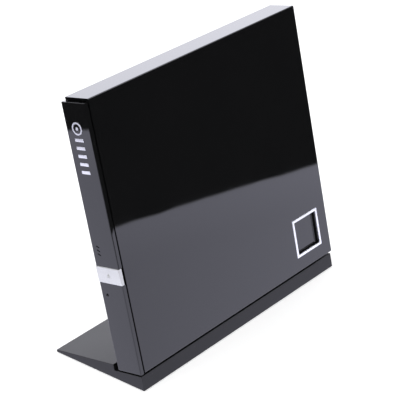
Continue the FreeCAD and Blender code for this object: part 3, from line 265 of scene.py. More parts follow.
def start_group(name, numbers, results):
    """A node group with number inputs, and number outputs to be linked by its maker."""
    tree = bpy.data.node_groups.new(name, "ShaderNodeTree")
    for label, value in numbers.items():
        made = tree.interface.new_socket(label, in_out="INPUT", socket_type="NodeSocketFloat")
        made.default_value = value
    for label in results:
        tree.interface.new_socket(label, in_out="OUTPUT", socket_type="NodeSocketFloat")
    return tree, tree.nodes.new("NodeGroupInput"), tree.nodes.new("NodeGroupOutput")


# %% Mould grain: a fine bump and slow cloudiness
def make_grain():
    tree, inside, outside = start_group("mould grain", {"Size": 0.3 * MM}, ("Height", "Cloud"))
    place = object_place(tree)
    per_metre = calc(tree, "DIVIDE", 1.0, inside.outputs["Size"])
    fine = noise(tree, place, per_metre, detail=3.0, roughness=0.6)
    tree.links.new(fine, outside.inputs["Height"])
    tree.links.new(noise(tree, place, 38.0, detail=3.0), outside.inputs["Cloud"])


make_grain()


# %% Hairlines: long thin scratches in three directions
def make_hairlines():
    tree, inside, outside = start_group("hairlines", {"Amount": 0.3}, ("Mask",))
    total = None
    for turn, across in ((0.35, 1500.0), (1.35, 1900.0), (2.3, 1200.0)):
        stretched = object_place(tree, (24.0, across, across), (turn, turn * 0.7, turn))
        line = ramp(tree, noise(tree, stretched, 1.0, detail=1.0), 0.68, 0.78)
        total = line if total is None else calc(tree, "MAXIMUM", total, line)
    patches = ramp(tree, noise(tree, object_place(tree), 16.0), 0.45, 0.7)
    mask = calc(tree, "MULTIPLY", total, patches)
    tree.links.new(calc(tree, "MULTIPLY", mask, inside.outputs["Amount"]), outside.inputs["Mask"])


make_hairlines()


# %% Dust: tiny specks, more of them on what faces up
def make_dust():
    tree, inside, outside = start_group("dust", {"Amount": 0.3}, ("Mask",))
    specks = tree.nodes.new("ShaderNodeTexVoronoi")
    specks.inputs["Scale"].default_value = 420.0
    tree.links.new(object_place(tree), specks.inputs["Vector"])
    near = ramp(tree, specks.outputs["Distance"], 0.16, 0.05)
    shade = tree.nodes.new("ShaderNodeSeparateColor")
    tree.links.new(specks.outputs["Color"], shade.inputs[0])
    few = ramp(tree, shade.outputs[0], 0.86, 0.9)
    geometry = tree.nodes.new("ShaderNodeNewGeometry")
    facing = tree.nodes.new("ShaderNodeSeparateXYZ")
    tree.links.new(geometry.outputs["Normal"], facing.inputs[0])
    up = ramp(tree, facing.outputs["Z"], -0.1, 0.9, 0.12, 1.0)
    mask = calc(tree, "MULTIPLY", calc(tree, "MULTIPLY", near, few), up)
    tree.links.new(calc(tree, "MULTIPLY", mask, inside.outputs["Amount"]), outside.inputs["Mask"])


make_dust()


# %% Edge rub: a broken line along corners
def make_edge_rub():
    tree, inside, outside = start_group("edge rub", {"Width": 0.3 * MM}, ("Mask",))
    rounded = tree.nodes.new("ShaderNodeBevel")
    rounded.samples = 4
    tree.links.new(inside.outputs["Width"], rounded.inputs["Radius"])
    geometry = tree.nodes.new("ShaderNodeNewGeometry")
    compare = tree.nodes.new("ShaderNodeVectorMath")
    compare.operation = "DOT_PRODUCT"
    tree.links.new(rounded.outputs["Normal"], compare.inputs[0])
    tree.links.new(geometry.outputs["Normal"], compare.inputs[1])
    corner = ramp(tree, compare.outputs["Value"], 0.99, 0.75)
    broken = ramp(tree, noise(tree, object_place(tree), 260.0, detail=4.0), 0.4, 0.62)
    tree.links.new(calc(tree, "MULTIPLY", corner, broken), outside.inputs["Mask"])


make_edge_rub()
print("shared effects", [g.name for g in bpy.data.node_groups])

# %% [markdown]
# ## Finishes
# Each of the record's material slots gets one finish, and every CAD sub-part in that slot takes
# it.  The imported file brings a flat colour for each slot, so those are removed first and their
# names are free again.  Two makers cover most of the finishes: a moulded plastic and a metal.
# Both read Object coordinates, so their grain has a real size in metres and stays on the piece
# when it moves.

# %% Two makers of finishes
for flat_colour in list(bpy.data.materials):
    bpy.data.materials.remove(flat_colour)


def add_group(tree, name, **numbers):
    node = tree.nodes.new("ShaderNodeGroup")
    node.node_tree = bpy.data.node_groups[name]
    for label, value in numbers.items():
        node.inputs[label].default_value = value
    return node


def mix_colour(tree, amount, first, second):
    """Two colours mixed by a mask.  Each is an RGB triple or a socket."""
    node = tree.nodes.new("ShaderNodeMix")
    node.data_type = "RGBA"
    link_value(tree, amount, node.inputs["Factor"])
    for label, colour in (("A", first), ("B", second)):
        socket = [s for s in node.inputs if s.name == label and s.type == "RGBA"][0]
        if isinstance(colour, bpy.types.NodeSocket):
            tree.links.new(colour, socket)
        else:
            socket.default_value = (*colour, 1.0)
    return [s for s in node.outputs if s.type == "RGBA"][0]


def bump(tree, height, depth, shader):
    """Raise the surface by a height in metres."""
    node = tree.nodes.new("ShaderNodeBump")
    node.inputs["Strength"].default_value = 1.0
    node.inputs["Distance"].default_value = depth
    tree.links.new(height, node.inputs["Height"])
    tree.links.new(node.outputs[0], shader.inputs["Normal"])


def new_finish(slot):
    material = bpy.data.materials.new(slot)
    material.use_nodes = True
    tree = material.node_tree
    return tree, tree.nodes["Principled BSDF"]


def tinted(colour, factor):
    return tuple(min(1.0, c * factor) for c in colour)


def refinish(obj, material):
    """Give a piece a finish of its own in place of its slot's."""
    obj.data.materials.clear()
    obj.data.materials.append(bpy.data.materials[material])


def plastic(
    slot, colour, rough, grain=0.3, depth=0.01, scratch=0.3, dust=0.35, rub=0.25, mottle=0.14,
):
    """Moulded plastic.  grain and depth are the mould texture's size and height in mm."""
    tree, shader = new_finish(slot)
    texture = add_group(tree, "mould grain", Size=grain * MM)
    lines = add_group(tree, "hairlines", Amount=scratch)
    specks = add_group(tree, "dust", Amount=dust)
    corner = add_group(tree, "edge rub")
    cloud = ramp(tree, texture.outputs["Cloud"], 0.35, 0.65)
    base = mix_colour(tree, cloud, tinted(colour, 1 - mottle), tinted(colour, 1 + mottle))
    pale = tuple(c * 1.5 + 0.02 for c in colour)
    base = mix_colour(tree, calc(tree, "MULTIPLY", corner.outputs["Mask"], rub), base, pale)
    base = mix_colour(tree, specks.outputs["Mask"], base, (0.42, 0.41, 0.39))
    tree.links.new(base, shader.inputs["Base Color"])
    gloss = ramp(tree, texture.outputs["Cloud"], 0.3, 0.7, rough * 0.92, rough * 1.08)
    gloss = calc(tree, "MULTIPLY_ADD", lines.outputs["Mask"], 0.22, gloss)
    gloss = calc(tree, "MULTIPLY_ADD", specks.outputs["Mask"], 0.5, gloss, clamp=True)
    tree.links.new(gloss, shader.inputs["Roughness"])
    bump(tree, texture.outputs["Height"], depth * MM, shader)
    return tree, shader


def metal(
    slot, colour, rough, brush=(1, 1, 1), lines=600.0, depth=0.004, rub=0.3, mottle=0.35,
):
    """Bare or plated metal.  brush stretches the grain, so a small number runs along it."""
    tree, shader = new_finish(slot)
    grain = noise(tree, object_place(tree, brush), lines, detail=4.0, roughness=0.65)
    cloud = noise(tree, object_place(tree), 45.0, detail=3.0)
    corner = add_group(tree, "edge rub")
    hair = add_group(tree, "hairlines", Amount=0.4)
    base = mix_colour(tree, grain, tinted(colour, 0.84), tinted(colour, 1.1))
    base = mix_colour(tree, ramp(tree, cloud, 0.35, 0.7, 0.0, mottle), base, tinted(colour, 0.72))
    brighter = tinted(colour, 1.3)
    base = mix_colour(tree, calc(tree, "MULTIPLY", corner.outputs["Mask"], rub), base, brighter)
    tree.links.new(base, shader.inputs["Base Color"])
    shader.inputs["Metallic"].default_value = 1.0
    gloss = ramp(tree, grain, 0.25, 0.75, rough * 0.8, rough * 1.2, soft=False)
    gloss = calc(tree, "MULTIPLY_ADD", hair.outputs["Mask"], 0.15, gloss, clamp=True)
    tree.links.new(gloss, shader.inputs["Roughness"])
    bump(tree, grain, depth * MM, shader)
    return tree, shader


# %% [markdown]
# ### Piano black
# The two big faces and the bezel are polished black ABS.  Its depth comes from a very dark base
# under a plain, sharp dielectric gloss; an almost flat bump, a few centimetres long, gives the
# slow waviness of a large moulding, and hairlines only break up the gloss.

# %% Glossy black
def glossy_black():
    tree, shader = new_finish("glossy_black")
    texture = add_group(tree, "mould grain", Size=0.12 * MM)
    lines = add_group(tree, "hairlines", Amount=0.5)
    specks = add_group(tree, "dust", Amount=0.16)
    darkest = (0.0034, 0.0035, 0.0038)
    base = mix_colour(tree, texture.outputs["Cloud"], darkest, (0.0048, 0.0048, 0.005))
    base = mix_colour(tree, specks.outputs["Mask"], base, (0.35, 0.35, 0.34))
    tree.links.new(base, shader.inputs["Base Color"])
    gloss = ramp(tree, texture.outputs["Cloud"], 0.3, 0.7, 0.012, 0.02)
    gloss = calc(tree, "MULTIPLY_ADD", lines.outputs["Mask"], 0.12, gloss)
    gloss = calc(tree, "MULTIPLY_ADD", specks.outputs["Mask"], 0.6, gloss, clamp=True)
    tree.links.new(gloss, shader.inputs["Roughness"])
    wave = noise(tree, object_place(tree), 26.0, detail=1.0)
    bump(tree, wave, 0.02 * MM, shader)


glossy_black()

# %% [markdown]
# ### Plastics, rubber and metals
# The stand is a satin black with a soft spark-eroded grain.  The bottom cover is coarser, since
# it hides against the desk.  The key is silver lacquer over plastic: half metallic, with fine
# flakes.  Steel sheet is zinc plated, so a wide cell pattern gives its faint spangle.

# %% The plain plastics and the rubber
_, stand_shader = plastic(
    "stand_black", (0.009, 0.009, 0.0095), 0.32, grain=0.28, depth=0.006, dust=0.25, rub=0.3,
)
stand_shader.inputs["Specular IOR Level"].default_value = 0.27
plastic("black_plastic", (0.015, 0.015, 0.0155), 0.46, grain=0.45, depth=0.016, dust=0.3)
plastic("tray_grey", (0.052, 0.053, 0.056), 0.42, grain=0.35, depth=0.01, dust=0.2)
plastic("hub_plastic", (0.022, 0.022, 0.023), 0.3, grain=0.2, depth=0.004, dust=0.1)
plastic("lens_plastic", (0.03, 0.03, 0.032), 0.38, grain=0.15, depth=0.004, dust=0.1)
plastic("rubber_black", (0.018, 0.018, 0.018), 0.72, grain=0.5, depth=0.03, scratch=0.1, dust=0.6)
plastic("cover_black_metal", (0.012, 0.012, 0.0125), 0.4, grain=0.7, depth=0.02, rub=0.6)

# %% The metals
metal("trim_metal", (0.86, 0.865, 0.87), 0.2, brush=(0.06, 1, 1), lines=5200.0, depth=0.0015)
metal("bright_steel", (0.62, 0.62, 0.63), 0.16, brush=(1, 0.4, 1), lines=2600.0, depth=0.0012)
metal("screw_steel", (0.2, 0.2, 0.21), 0.34, lines=3200.0)
metal("motor_metal", (0.5, 0.5, 0.51), 0.27, brush=(1, 0.2, 1), lines=2400.0, depth=0.002)
metal("sled_metal", (0.34, 0.34, 0.345), 0.48, lines=2300.0, depth=0.03)


# %% Silver lacquer of the eject key
def silver_plastic():
    _, shader = metal("silver_plastic", (0.64, 0.645, 0.65), 0.3, lines=5200.0, depth=0.001)
    shader.inputs["Metallic"].default_value = 0.5
    shader.inputs["Coat Weight"].default_value = 0.35
    shader.inputs["Coat Roughness"].default_value = 0.08


silver_plastic()


# %% Zinc plated sheet: cells of slightly different brightness
def zinc_steel():
    tree, shader = metal("zinc_steel", (0.56, 0.56, 0.55), 0.33, lines=900.0, mottle=0.12)
    cells = tree.nodes.new("ShaderNodeTexVoronoi")
    cells.inputs["Scale"].default_value = 210.0
    tree.links.new(object_place(tree), cells.inputs["Vector"])
    shade = tree.nodes.new("ShaderNodeSeparateColor")
    tree.links.new(cells.outputs["Color"], shade.inputs[0])
    old = shader.inputs["Base Color"].links[0].from_socket
    spangle = ramp(tree, shade.outputs[0], 0.2, 0.9, 0.0, 0.16, soft=False)
    tree.links.new(mix_colour(tree, spangle, old, (0.38, 0.385, 0.39)), shader.inputs["Base Color"])


zinc_steel()


# %% [markdown]
# ### Boards and flat cable
# A circuit board is glass cloth under green lacquer, and its copper tracks show as slightly
# paler, raised lines.  Two crossed brick patterns on Object coordinates make tracks that run in
# straight steps.  The flat cable is amber film with copper lines inside it.

# %% Circuit board
def board_green():
    tree, shader = new_finish("board_green")
    tracks = None
    for turn, scale in (((1.57, 0.0, 0.0), 320.0), ((1.57, 0.0, 1.57), 250.0)):
        bricks = tree.nodes.new("ShaderNodeTexBrick")
        bricks.inputs["Scale"].default_value = scale
        bricks.inputs["Mortar Size"].default_value = 0.035
        bricks.inputs["Color1"].default_value = (0, 0, 0, 1)
        bricks.inputs["Color2"].default_value = (0, 0, 0, 1)
        bricks.inputs["Mortar"].default_value = (1, 1, 1, 1)
        tree.links.new(object_place(tree, turn=turn), bricks.inputs["Vector"])
        line = bricks.outputs["Color"]
        tracks = line if tracks is None else calc(tree, "MAXIMUM", tracks, line)
    weave = noise(tree, object_place(tree), 2400.0, detail=1.0)
    base = mix_colour(tree, tracks, (0.006, 0.06, 0.022), (0.02, 0.13, 0.045))
    base = mix_colour(tree, calc(tree, "MULTIPLY", weave, 0.3), base, (0.01, 0.05, 0.02))
    tree.links.new(base, shader.inputs["Base Color"])
    tree.links.new(ramp(tree, weave, 0.3, 0.7, 0.24, 0.4), shader.inputs["Roughness"])
    bump(tree, tracks, 0.03 * MM, shader)


board_green()


# %% Amber flat cable
def cable_amber():
    tree, shader = new_finish("cable_amber")
    wires = tree.nodes.new("ShaderNodeTexWave")
    wires.wave_type = "BANDS"
    wires.bands_direction = "Z"
    wires.inputs["Scale"].default_value = 320.0
    tree.links.new(object_place(tree), wires.inputs["Vector"])
    stripe = ramp(tree, wires.outputs["Fac"], 0.45, 0.6)
    film = noise(tree, object_place(tree), 90.0)
    base = mix_colour(tree, stripe, (0.33, 0.12, 0.02), (0.55, 0.26, 0.06))
    base = mix_colour(tree, ramp(tree, film, 0.4, 0.7, 0.0, 0.3), base, (0.2, 0.07, 0.012))
    tree.links.new(base, shader.inputs["Base Color"])
    tree.links.new(ramp(tree, film, 0.3, 0.7, 0.22, 0.34), shader.inputs["Roughness"])
    bump(tree, stripe, 0.02 * MM, shader)


cable_amber()


# %% Clear light guide and coated lens
def clear_finish(slot, colour, rough):
    tree, shader = new_finish(slot)
    haze = noise(tree, object_place(tree), 900.0)
    tree.links.new(mix_colour(tree, haze, colour, tinted(colour, 0.8)), shader.inputs["Base Color"])
    tree.links.new(ramp(tree, haze, 0.3, 0.7, rough, rough * 2.0), shader.inputs["Roughness"])
    shader.inputs["IOR"].default_value = 1.52
    return tree, shader


clear_finish("clear_plastic", (0.006, 0.0065, 0.008), 0.3)
_, lens_shader = clear_finish("lens_glass", (0.16, 0.2, 0.42), 0.03)
lens_shader.inputs["Coat Weight"].default_value = 1.0
lens_shader.inputs["Coat Tint"].default_value = (0.6, 0.7, 1.0, 1.0)

# %% [markdown]
# ### Giving the CAD sub-parts their finishes
# The record lists the sub-parts of each slot, so one loop is enough.  Inner sub-parts, such as
# the motor, the rods and the boards, already have their true shape and stay as they are.

# %% Finish every CAD sub-part by its slot
node_slot = {row["node"]: row["material_slot"] for row in frame["record"]["subparts"]}
for name, obj in nodes.items():
    refinish(obj, node_slot[name])
print("slots in use", sorted(set(node_slot.values())))

# %% [markdown]
# ## The two covers
# The glossy cover is one deep moulding: a face with thin walls, a square recess and openings at
# the back.  Its CAD shape is exact, so a merged copy is taken, and every remaining hard edge
# gets a bevel of about a tenth of a millimetre, which is what a polished mould tool leaves.

# %% Glossy cover
shell = cad_copy("top_cover", DRIVE)
soften(shell, 0.12)
piece(shell, "glossy_cover", "drive", "glossy_black", stands_for=("top_cover",))

# %% [markdown]
# The bottom cover faces away from the glossy side.  Real ones have a field of cooling slots and
# a shallow seat for the rating label.  Both are carved into the CAD copy.  The label is left
# blank: a thin film with rounded corners that lies in its seat.

# %% Bottom cover with cooling slots and a label seat
bottom_low, bottom_high = flat_box("bottom_cover")
SLOT_COLUMNS = (-46.0, -27.0, 12.0, 31.0)
SLOT_ROWS = 7
SLOT_PITCH = 2.9
SLOT_FROM_REAR = 34.0
SLOT_LONG = 15.0
SLOT_WIDE = 1.3
SLOT_DEEP = 1.1
LABEL_HALF = (33.0, 23.0)
LABEL_SEAT = 0.25
LABEL_Y = 64.0
LABEL_GAP = 0.3
LABEL_CORNER = 2.0
LABEL_BACK = 0.1           # the film's hidden side above the cover's outer face


def vent_slots(bm):
    """Two fields of cooling slots near the back, where the boards get warm."""
    for column in SLOT_COLUMNS:
        for row in range(SLOT_ROWS):
            y = bottom_high.y - SLOT_FROM_REAR + row * SLOT_PITCH
            low = (column, y, bottom_low.z - 1.0)
            high = (column + SLOT_LONG, y + SLOT_WIDE, bottom_low.z + SLOT_DEEP)
            block(bm, low, high)


cutter = bmesh.new()
vent_slots(cutter)
half_x, half_y = LABEL_HALF
block(cutter, (-half_x, LABEL_Y - half_y, -1.0), (half_x, LABEL_Y + half_y, LABEL_SEAT))
panel = carve(cad_copy("bottom_cover", DRIVE), cutter)
soften(panel, 0.18, test=lambda p: p.z < 1.2)
piece(panel, "bottom_panel", "drive", "black_plastic", stands_for=("bottom_cover",))

# %% Blank rating label
plastic(
    "label_film", (0.33, 0.335, 0.34), 0.38, grain=0.2, depth=0.003, dust=0.1, rub=0.0, mottle=0.03,
)
label = bmesh.new()
half_x -= LABEL_GAP
half_y -= LABEL_GAP
block(
    label, (-half_x, LABEL_Y - half_y, LABEL_BACK), (half_x, LABEL_Y + half_y, LABEL_SEAT),
)
corners = [e for e in label.edges if abs(e.verts[0].co.z - e.verts[1].co.z) > 0.1]
bmesh.ops.bevel(
    label, geom=corners, offset=LABEL_CORNER, offset_type="OFFSET", segments=6, profile=0.5,
    affect="EDGES", material=-1,
)
refinish(piece(label, "blank_label", "drive", "black_plastic"), "label_film")

# %% [markdown]
# ## The bezel
# The bezel closes the drive's narrow front and slides out with the tray.  It starts as one
# block with a rounded front rim.  The seat of the key, its wrap-round slot, the pinhole and
# three slanted light slots are carved after the rim, so that their own edges stay crisp.

# %% Bezel
KEY_FIT = 0.12
KEY_PLATE = 1.2
KEY_TRAVEL = 0.6
KEY_LEG = 1.0
STEM_HALF = 0.7
STEM_PLAY = 0.3
STEM_Z = 6.0
SLOT_TILT = math.radians(24)
key_low, key_high = flat_box("eject_button")
light_low, light_high = flat_box("light_pipe")
light_middle = (light_low.x + light_high.x) / 2
light_z = (light_low.z + light_high.z) / 2
LIGHT_PITCH = 2.1
LIGHT_HALF = (0.3, 1.05)
LIGHT_STEPS = (-1, 0, 1)
PINHOLE_R = 0.6
PINHOLE_Z = 3.9
PINHOLE_FROM_KEY = 6.9
key_middle = (key_low.x + key_high.x) / 2
bez_low, bez_high = flat_box("tray_bezel")
onto_y = Matrix.Rotation(math.radians(-90), 4, "X")


def light_slots(bm, grow, y0, y1):
    """Three short slots, each slanted, side by side up the bezel."""
    wide, high = LIGHT_HALF
    half = Vector((wide + grow, (y1 - y0) / 2, high + grow))
    for step in LIGHT_STEPS:
        centre = Vector((light_middle + step * LIGHT_PITCH, (y0 + y1) / 2, light_z))
        block(bm, centre - half, centre + half, Matrix.Rotation(SLOT_TILT, 4, "Y"))


def light_pins(bm, radius, length):
    """A round pin, or the hole for it, behind each light slot."""
    for step in LIGHT_STEPS:
        centre = Matrix.Translation((light_middle + step * LIGHT_PITCH, 0.5, light_z))
        lathe(bm, [(0, 0), (radius, 0), (radius, length), (0, length)], centre @ onto_y, 16)


bezel = bmesh.new()
block(bezel, bez_low, bez_high)
soften(bezel, 0.45, 4, test=lambda p: p.y < bez_low.y + 0.1)
cutter = bmesh.new()
seat_deep = key_low.y + KEY_PLATE + KEY_TRAVEL + KEY_FIT
key_x0 = key_low.x - KEY_FIT
key_x1 = key_high.x + KEY_FIT
block(cutter, (key_x0, -2.0, -1.0), (key_x1, seat_deep, bez_high.z + 1))
leg_z = bez_high.z - KEY_LEG - KEY_FIT
block(cutter, (key_x0, -2.0, leg_z), (key_x1, bez_high.y + 1, bez_high.z + 1))
stem = STEM_HALF + STEM_PLAY
block(
    cutter, (key_middle - stem, -2.0, STEM_Z - stem),
    (key_middle + stem, bez_high.y + 1, STEM_Z + stem),
)
light_slots(cutter, 0.04, -1.0, 0.9)
pin_x = key_high.x + PINHOLE_FROM_KEY
hole = [(0, -1), (0.9, -1), (0.9, 0.0), (PINHOLE_R, 0.28), (PINHOLE_R, 3.5), (0, 3.5)]
lathe(cutter, hole, Matrix.Translation((pin_x, 0, PINHOLE_Z)) @ onto_y, 24)
light_pins(cutter, 0.5, 3.0)
bezel = carve(bezel, cutter)
piece(bezel, "bezel", "tray", "glossy_black", stands_for=("tray_bezel",))

# %% Light guide: smoky windows in the slots, round pins behind them
guide = bmesh.new()
light_slots(guide, -0.02, 0.5, 0.86)
light_pins(guide, 0.42, 3.6)
block(guide, (light_low.x, light_high.y - 1.0, light_low.z), light_high)
soften(guide, 0.05)
piece(guide, "light_windows", "tray", "clear_plastic", stands_for=("light_pipe",))

# %% [markdown]
# ## The eject key
# The key is a silver lacquered shoe that wraps round the bezel's edge onto the glossy side.  Its
# plate and leg are two blocks with small round edges.  The common eject sign, a triangle over a
# bar, lies in a shallow pocket as a grey print.

# %% Eject key
ICON = 1.35                # height of the sign's triangle
ICON_BASE = 0.25           # its foot, and then the bar, from the key's middle
ICON_BAR = 0.7
ICON_BAR_WIDE = 0.4
ICON_DEEP = 0.1
JOIN = 0.1                 # overlap that joins two blocks of one moulding


def eject_sign(bm, y0, y1, grow):
    """A triangle that points up the bezel, over a bar."""
    z = bez_high.z / 2
    half = ICON * 0.8 + grow
    tip = (key_middle - ICON - grow, y0, z)
    base = key_middle + ICON_BASE + grow
    corners = [bm.verts.new(p) for p in (tip, (base, y0, z + half), (base, y0, z - half))]
    face = bm.faces.new(corners)
    made = bmesh.ops.extrude_face_region(bm, geom=[face])["geom"]
    far = [v for v in made if isinstance(v, bmesh.types.BMVert)]
    bmesh.ops.translate(bm, verts=far, vec=(0, y1 - y0, 0))
    bmesh.ops.recalc_face_normals(bm, faces=bm.faces)
    bar = key_middle + ICON_BAR
    block(bm, (bar - grow, y0, z - half), (bar + ICON_BAR_WIDE + grow, y1, z + half))


key = bmesh.new()
block(key, key_low, (key_high.x, key_low.y + KEY_PLATE, key_high.z))
soften(key, 0.28, 4, test=lambda p: p.y < key_low.y + 0.1)
cutter = bmesh.new()
eject_sign(cutter, key_low.y - 1.0, key_low.y + ICON_DEEP, 0.04)
key = carve(key, cutter)
leg_end = bez_high.y - KEY_TRAVEL
plate_end = key_low.y + KEY_PLATE - JOIN
block(key, (key_low.x, plate_end, key_high.z - KEY_LEG), (key_high.x, leg_end, key_high.z))
block(
    key, (key_middle - STEM_HALF, plate_end, STEM_Z - STEM_HALF),
    (key_middle + STEM_HALF, key_high.y, STEM_Z + STEM_HALF),
)
piece(key, "eject_key", "button", "silver_plastic", stands_for=("eject_button",))

sign = bmesh.new()
eject_sign(sign, key_low.y + 0.03, key_low.y + 0.12, 0.0)
plastic(
    "sign_grey", (0.34, 0.345, 0.35), 0.5, grain=0.1, depth=0.002, dust=0.0, rub=0.0, mottle=0.05,
)
refinish(piece(sign, "eject_sign", "button", "silver_plastic"), "sign_grey")

# %% [markdown]
# ## The square trim and the plain mark
# The trim is a stamped and anodised square frame that stands a little proud of the gloss, round
# a recess in the cover.  Its rims are bevelled twice as wide as the cover's, so that they flash
# white.  The mark on the bezel is only a ring, a dot and five bars of the same metal.

# %% Trim frame and bezel mark
trim = cad_copy("trim_ring", DRIVE)
soften(trim, 0.22, 3)
piece(trim, "trim_frame", "drive", "trim_metal", stands_for=("trim_ring",))
mark = cad_copy("bezel_mark", DRIVE)
soften(mark, 0.04, 2, angle=math.radians(50))
piece(mark, "bezel_badge", "tray", "trim_metal", stands_for=("bezel_mark",))

# %% [markdown]
# ## The stand
# The stand is a low satin wedge, as long as the drive, with a notch along its front that the
# drive's edge drops into.  A merged copy of the CAD wedge gets edges rounded by a third of a
# millimetre: wide enough to read as moulded, narrow enough to keep the crisp outline.

# %% Stand body, feet and screws
stand = cad_copy("stand_shell", DESK)
soften(stand, 0.32, 3)
piece(stand, "stand_body", "stand", "stand_black", DESK, ("stand_shell",))


def four_places(low, high, inset):
    """Centres of four round pieces that fill a box's corners."""
    for x in (low.x + inset, high.x - inset):
        for y in (low.y + inset, high.y - inset):
            yield x, y


def rubber_foot(bm, x, y, face, back, radius):
    """A round pad with a raised grip ring.  The face is what touches the desk."""
    up = 1 if back > face else -1
    step = 0.22 * up
    profile = [
        (0, face + step), (radius * 0.34, face + step), (radius * 0.4, face),
        (radius * 0.62, face), (radius * 0.66, face + step), (radius * 0.76, face + step),
        (radius * 0.8, face), (radius * 0.93, face), (radius, face + step), (radius, back),
        (0, back),
    ]
    lathe(bm, profile, Matrix.Translation((x, y, 0)), 40)


DESK_FOOT_R = 4.0
COVER_FOOT_R = 5.0
feet = bmesh.new()
low, high = box_along("stand_feet", DESK.inverted())
for x, y in four_places(low, high, DESK_FOOT_R):
    rubber_foot(feet, x, y, low.z, high.z, DESK_FOOT_R)
piece(feet, "desk_feet", "stand", "rubber_black", DESK, ("stand_feet",))

feet = bmesh.new()
low, high = flat_box("cover_feet")
for x, y in four_places(low, high, COVER_FOOT_R):
    rubber_foot(feet, x, y, low.z, high.z, COVER_FOOT_R)
piece(feet, "flat_feet", "drive", "rubber_black", stands_for=("cover_feet",))

HEAD_R = 1.9
HEAD_HIGH = 0.4
SHANK_R = 0.85
CROSS_HALF = (1.1, 0.22)
CROSS_DEEP = 0.26


def cross_screw(bm, x, y, head_low, head_high, top, head_r, shank_r):
    """A pan head with a cross recess, and its plain shank."""
    profile = [
        (0, head_low), (head_r * 0.72, head_low), (head_r * 0.94, head_low + 0.12),
        (head_r, head_high - 0.05), (head_r, head_high), (shank_r, head_high), (shank_r, top),
        (0, top),
    ]
    screw = bmesh.new()
    lathe(screw, profile, Matrix.Translation((x, y, 0)), 32)
    cutter = bmesh.new()
    for half_x, half_y in (CROSS_HALF, CROSS_HALF[::-1]):
        low = (x - half_x, y - half_y, head_low - 1.0)
        block(cutter, low, (x + half_x, y + half_y, head_low + CROSS_DEEP))
    screw = carve(screw, cutter)
    mesh = bpy.data.meshes.new("screw")
    screw.to_mesh(mesh)
    screw.free()
    bm.from_mesh(mesh)
    bpy.data.meshes.remove(mesh)


screws = bmesh.new()
low, high = box_along("stand_base_screws", DESK.inverted())
for x, y in four_places(low, high, HEAD_R):
    cross_screw(screws, x, y, low.z, low.z + HEAD_HIGH, high.z, HEAD_R, SHANK_R)
piece(screws, "base_screws", "stand", "screw_steel", DESK, ("stand_base_screws",))

# %% [markdown]
# ## Sockets at the back
# A mini USB shell and a barrel socket sit side by side at the rear.  The shell's rolled edge is
# a bevel; five gold strips lie on its tongue.  The barrel socket is a block with a bore, and its
# centre pin is a lathe piece with a round end.

# %% USB shell and its contacts
usb = cad_copy("usb_socket", DRIVE)
soften(usb, 0.12, 2)
piece(usb, "usb_shell", "drive", "bright_steel", stands_for=("usb_socket",))
metal("contact_gold", (0.83, 0.6, 0.24), 0.22, lines=2200.0, depth=0.001)
STRIP_PITCH = 0.9
STRIP_HALF = 0.22
STRIP_THICK = 0.08
low, high = flat_box("usb_socket")
contacts = bmesh.new()
strip_low = Vector((-STRIP_HALF, high.y - 6.6, (low.z + high.z) / 2 + 0.5))
strip_high = Vector((STRIP_HALF, high.y - 1.3, strip_low.z + STRIP_THICK))
for step in range(-2, 3):
    x = Vector(((low.x + high.x) / 2 + step * STRIP_PITCH, 0, 0))
    block(contacts, x + strip_low, x + strip_high)
refinish(piece(contacts, "usb_contacts", "drive", "bright_steel"), "contact_gold")

# %% Barrel socket
BORE_R = 2.4
BORE_DEEP = 8.8
low, high = flat_box("power_jack")
middle = (low + high) / 2
jack = bmesh.new()
block(jack, low, high)
soften(jack, 0.25, 2)
cutter = bmesh.new()
mouth_r = BORE_R + 0.4
bore = [
    (0, 0), (BORE_R, 0), (BORE_R, BORE_DEEP - 0.35), (mouth_r, BORE_DEEP), (mouth_r, 12), (0, 12),
]
bore_floor = Matrix.Translation((middle.x, high.y - BORE_DEEP, middle.z)) @ onto_y
lathe(cutter, bore, bore_floor, 40)
piece(carve(jack, cutter), "jack_body", "drive", "black_plastic", stands_for=("power_jack",))
pin = bmesh.new()
tip = [(0, -0.6), (0.65, -0.6), (0.65, 7.6), (0.55, 7.95), (0.3, 8.15), (0, 8.2)]
lathe(pin, tip, bore_floor, 24)
piece(pin, "jack_pin", "drive", "bright_steel")

# %% [markdown]
# ## The tray, seen when it slides out
# The tray moulding keeps its CAD shape, with its upper rims rounded so that the disc pocket
# shows as two soft steps.  The rails get the small edge radius of rolled steel.

# %% Tray and rails
tray = cad_copy("tray_moulding", DRIVE)
tray_top = flat_box("tray_moulding")[1].z
soften(tray, 0.2, 2, test=lambda p: p.z > tray_top - 0.05)
piece(tray, "tray_body", "tray", "tray_grey", stands_for=("tray_moulding",))
for side in ("left_rail", "right_rail"):
    rail = cad_copy(side, DRIVE)
    soften(rail, 0.15, 2)
    piece(rail, side + "_rolled", side, "zinc_steel", stands_for=(side,))

# %% [markdown]
# ## The disc hub and the lens
# The hub centres the disc, and three sprung claws hold it.  A lathe profile gives the platter,
# the hub's domed shoulder and its dimple in one go; six slits free the claws, and each claw gets
# a small catch.  The lens is a shallow dome from the same lathe.

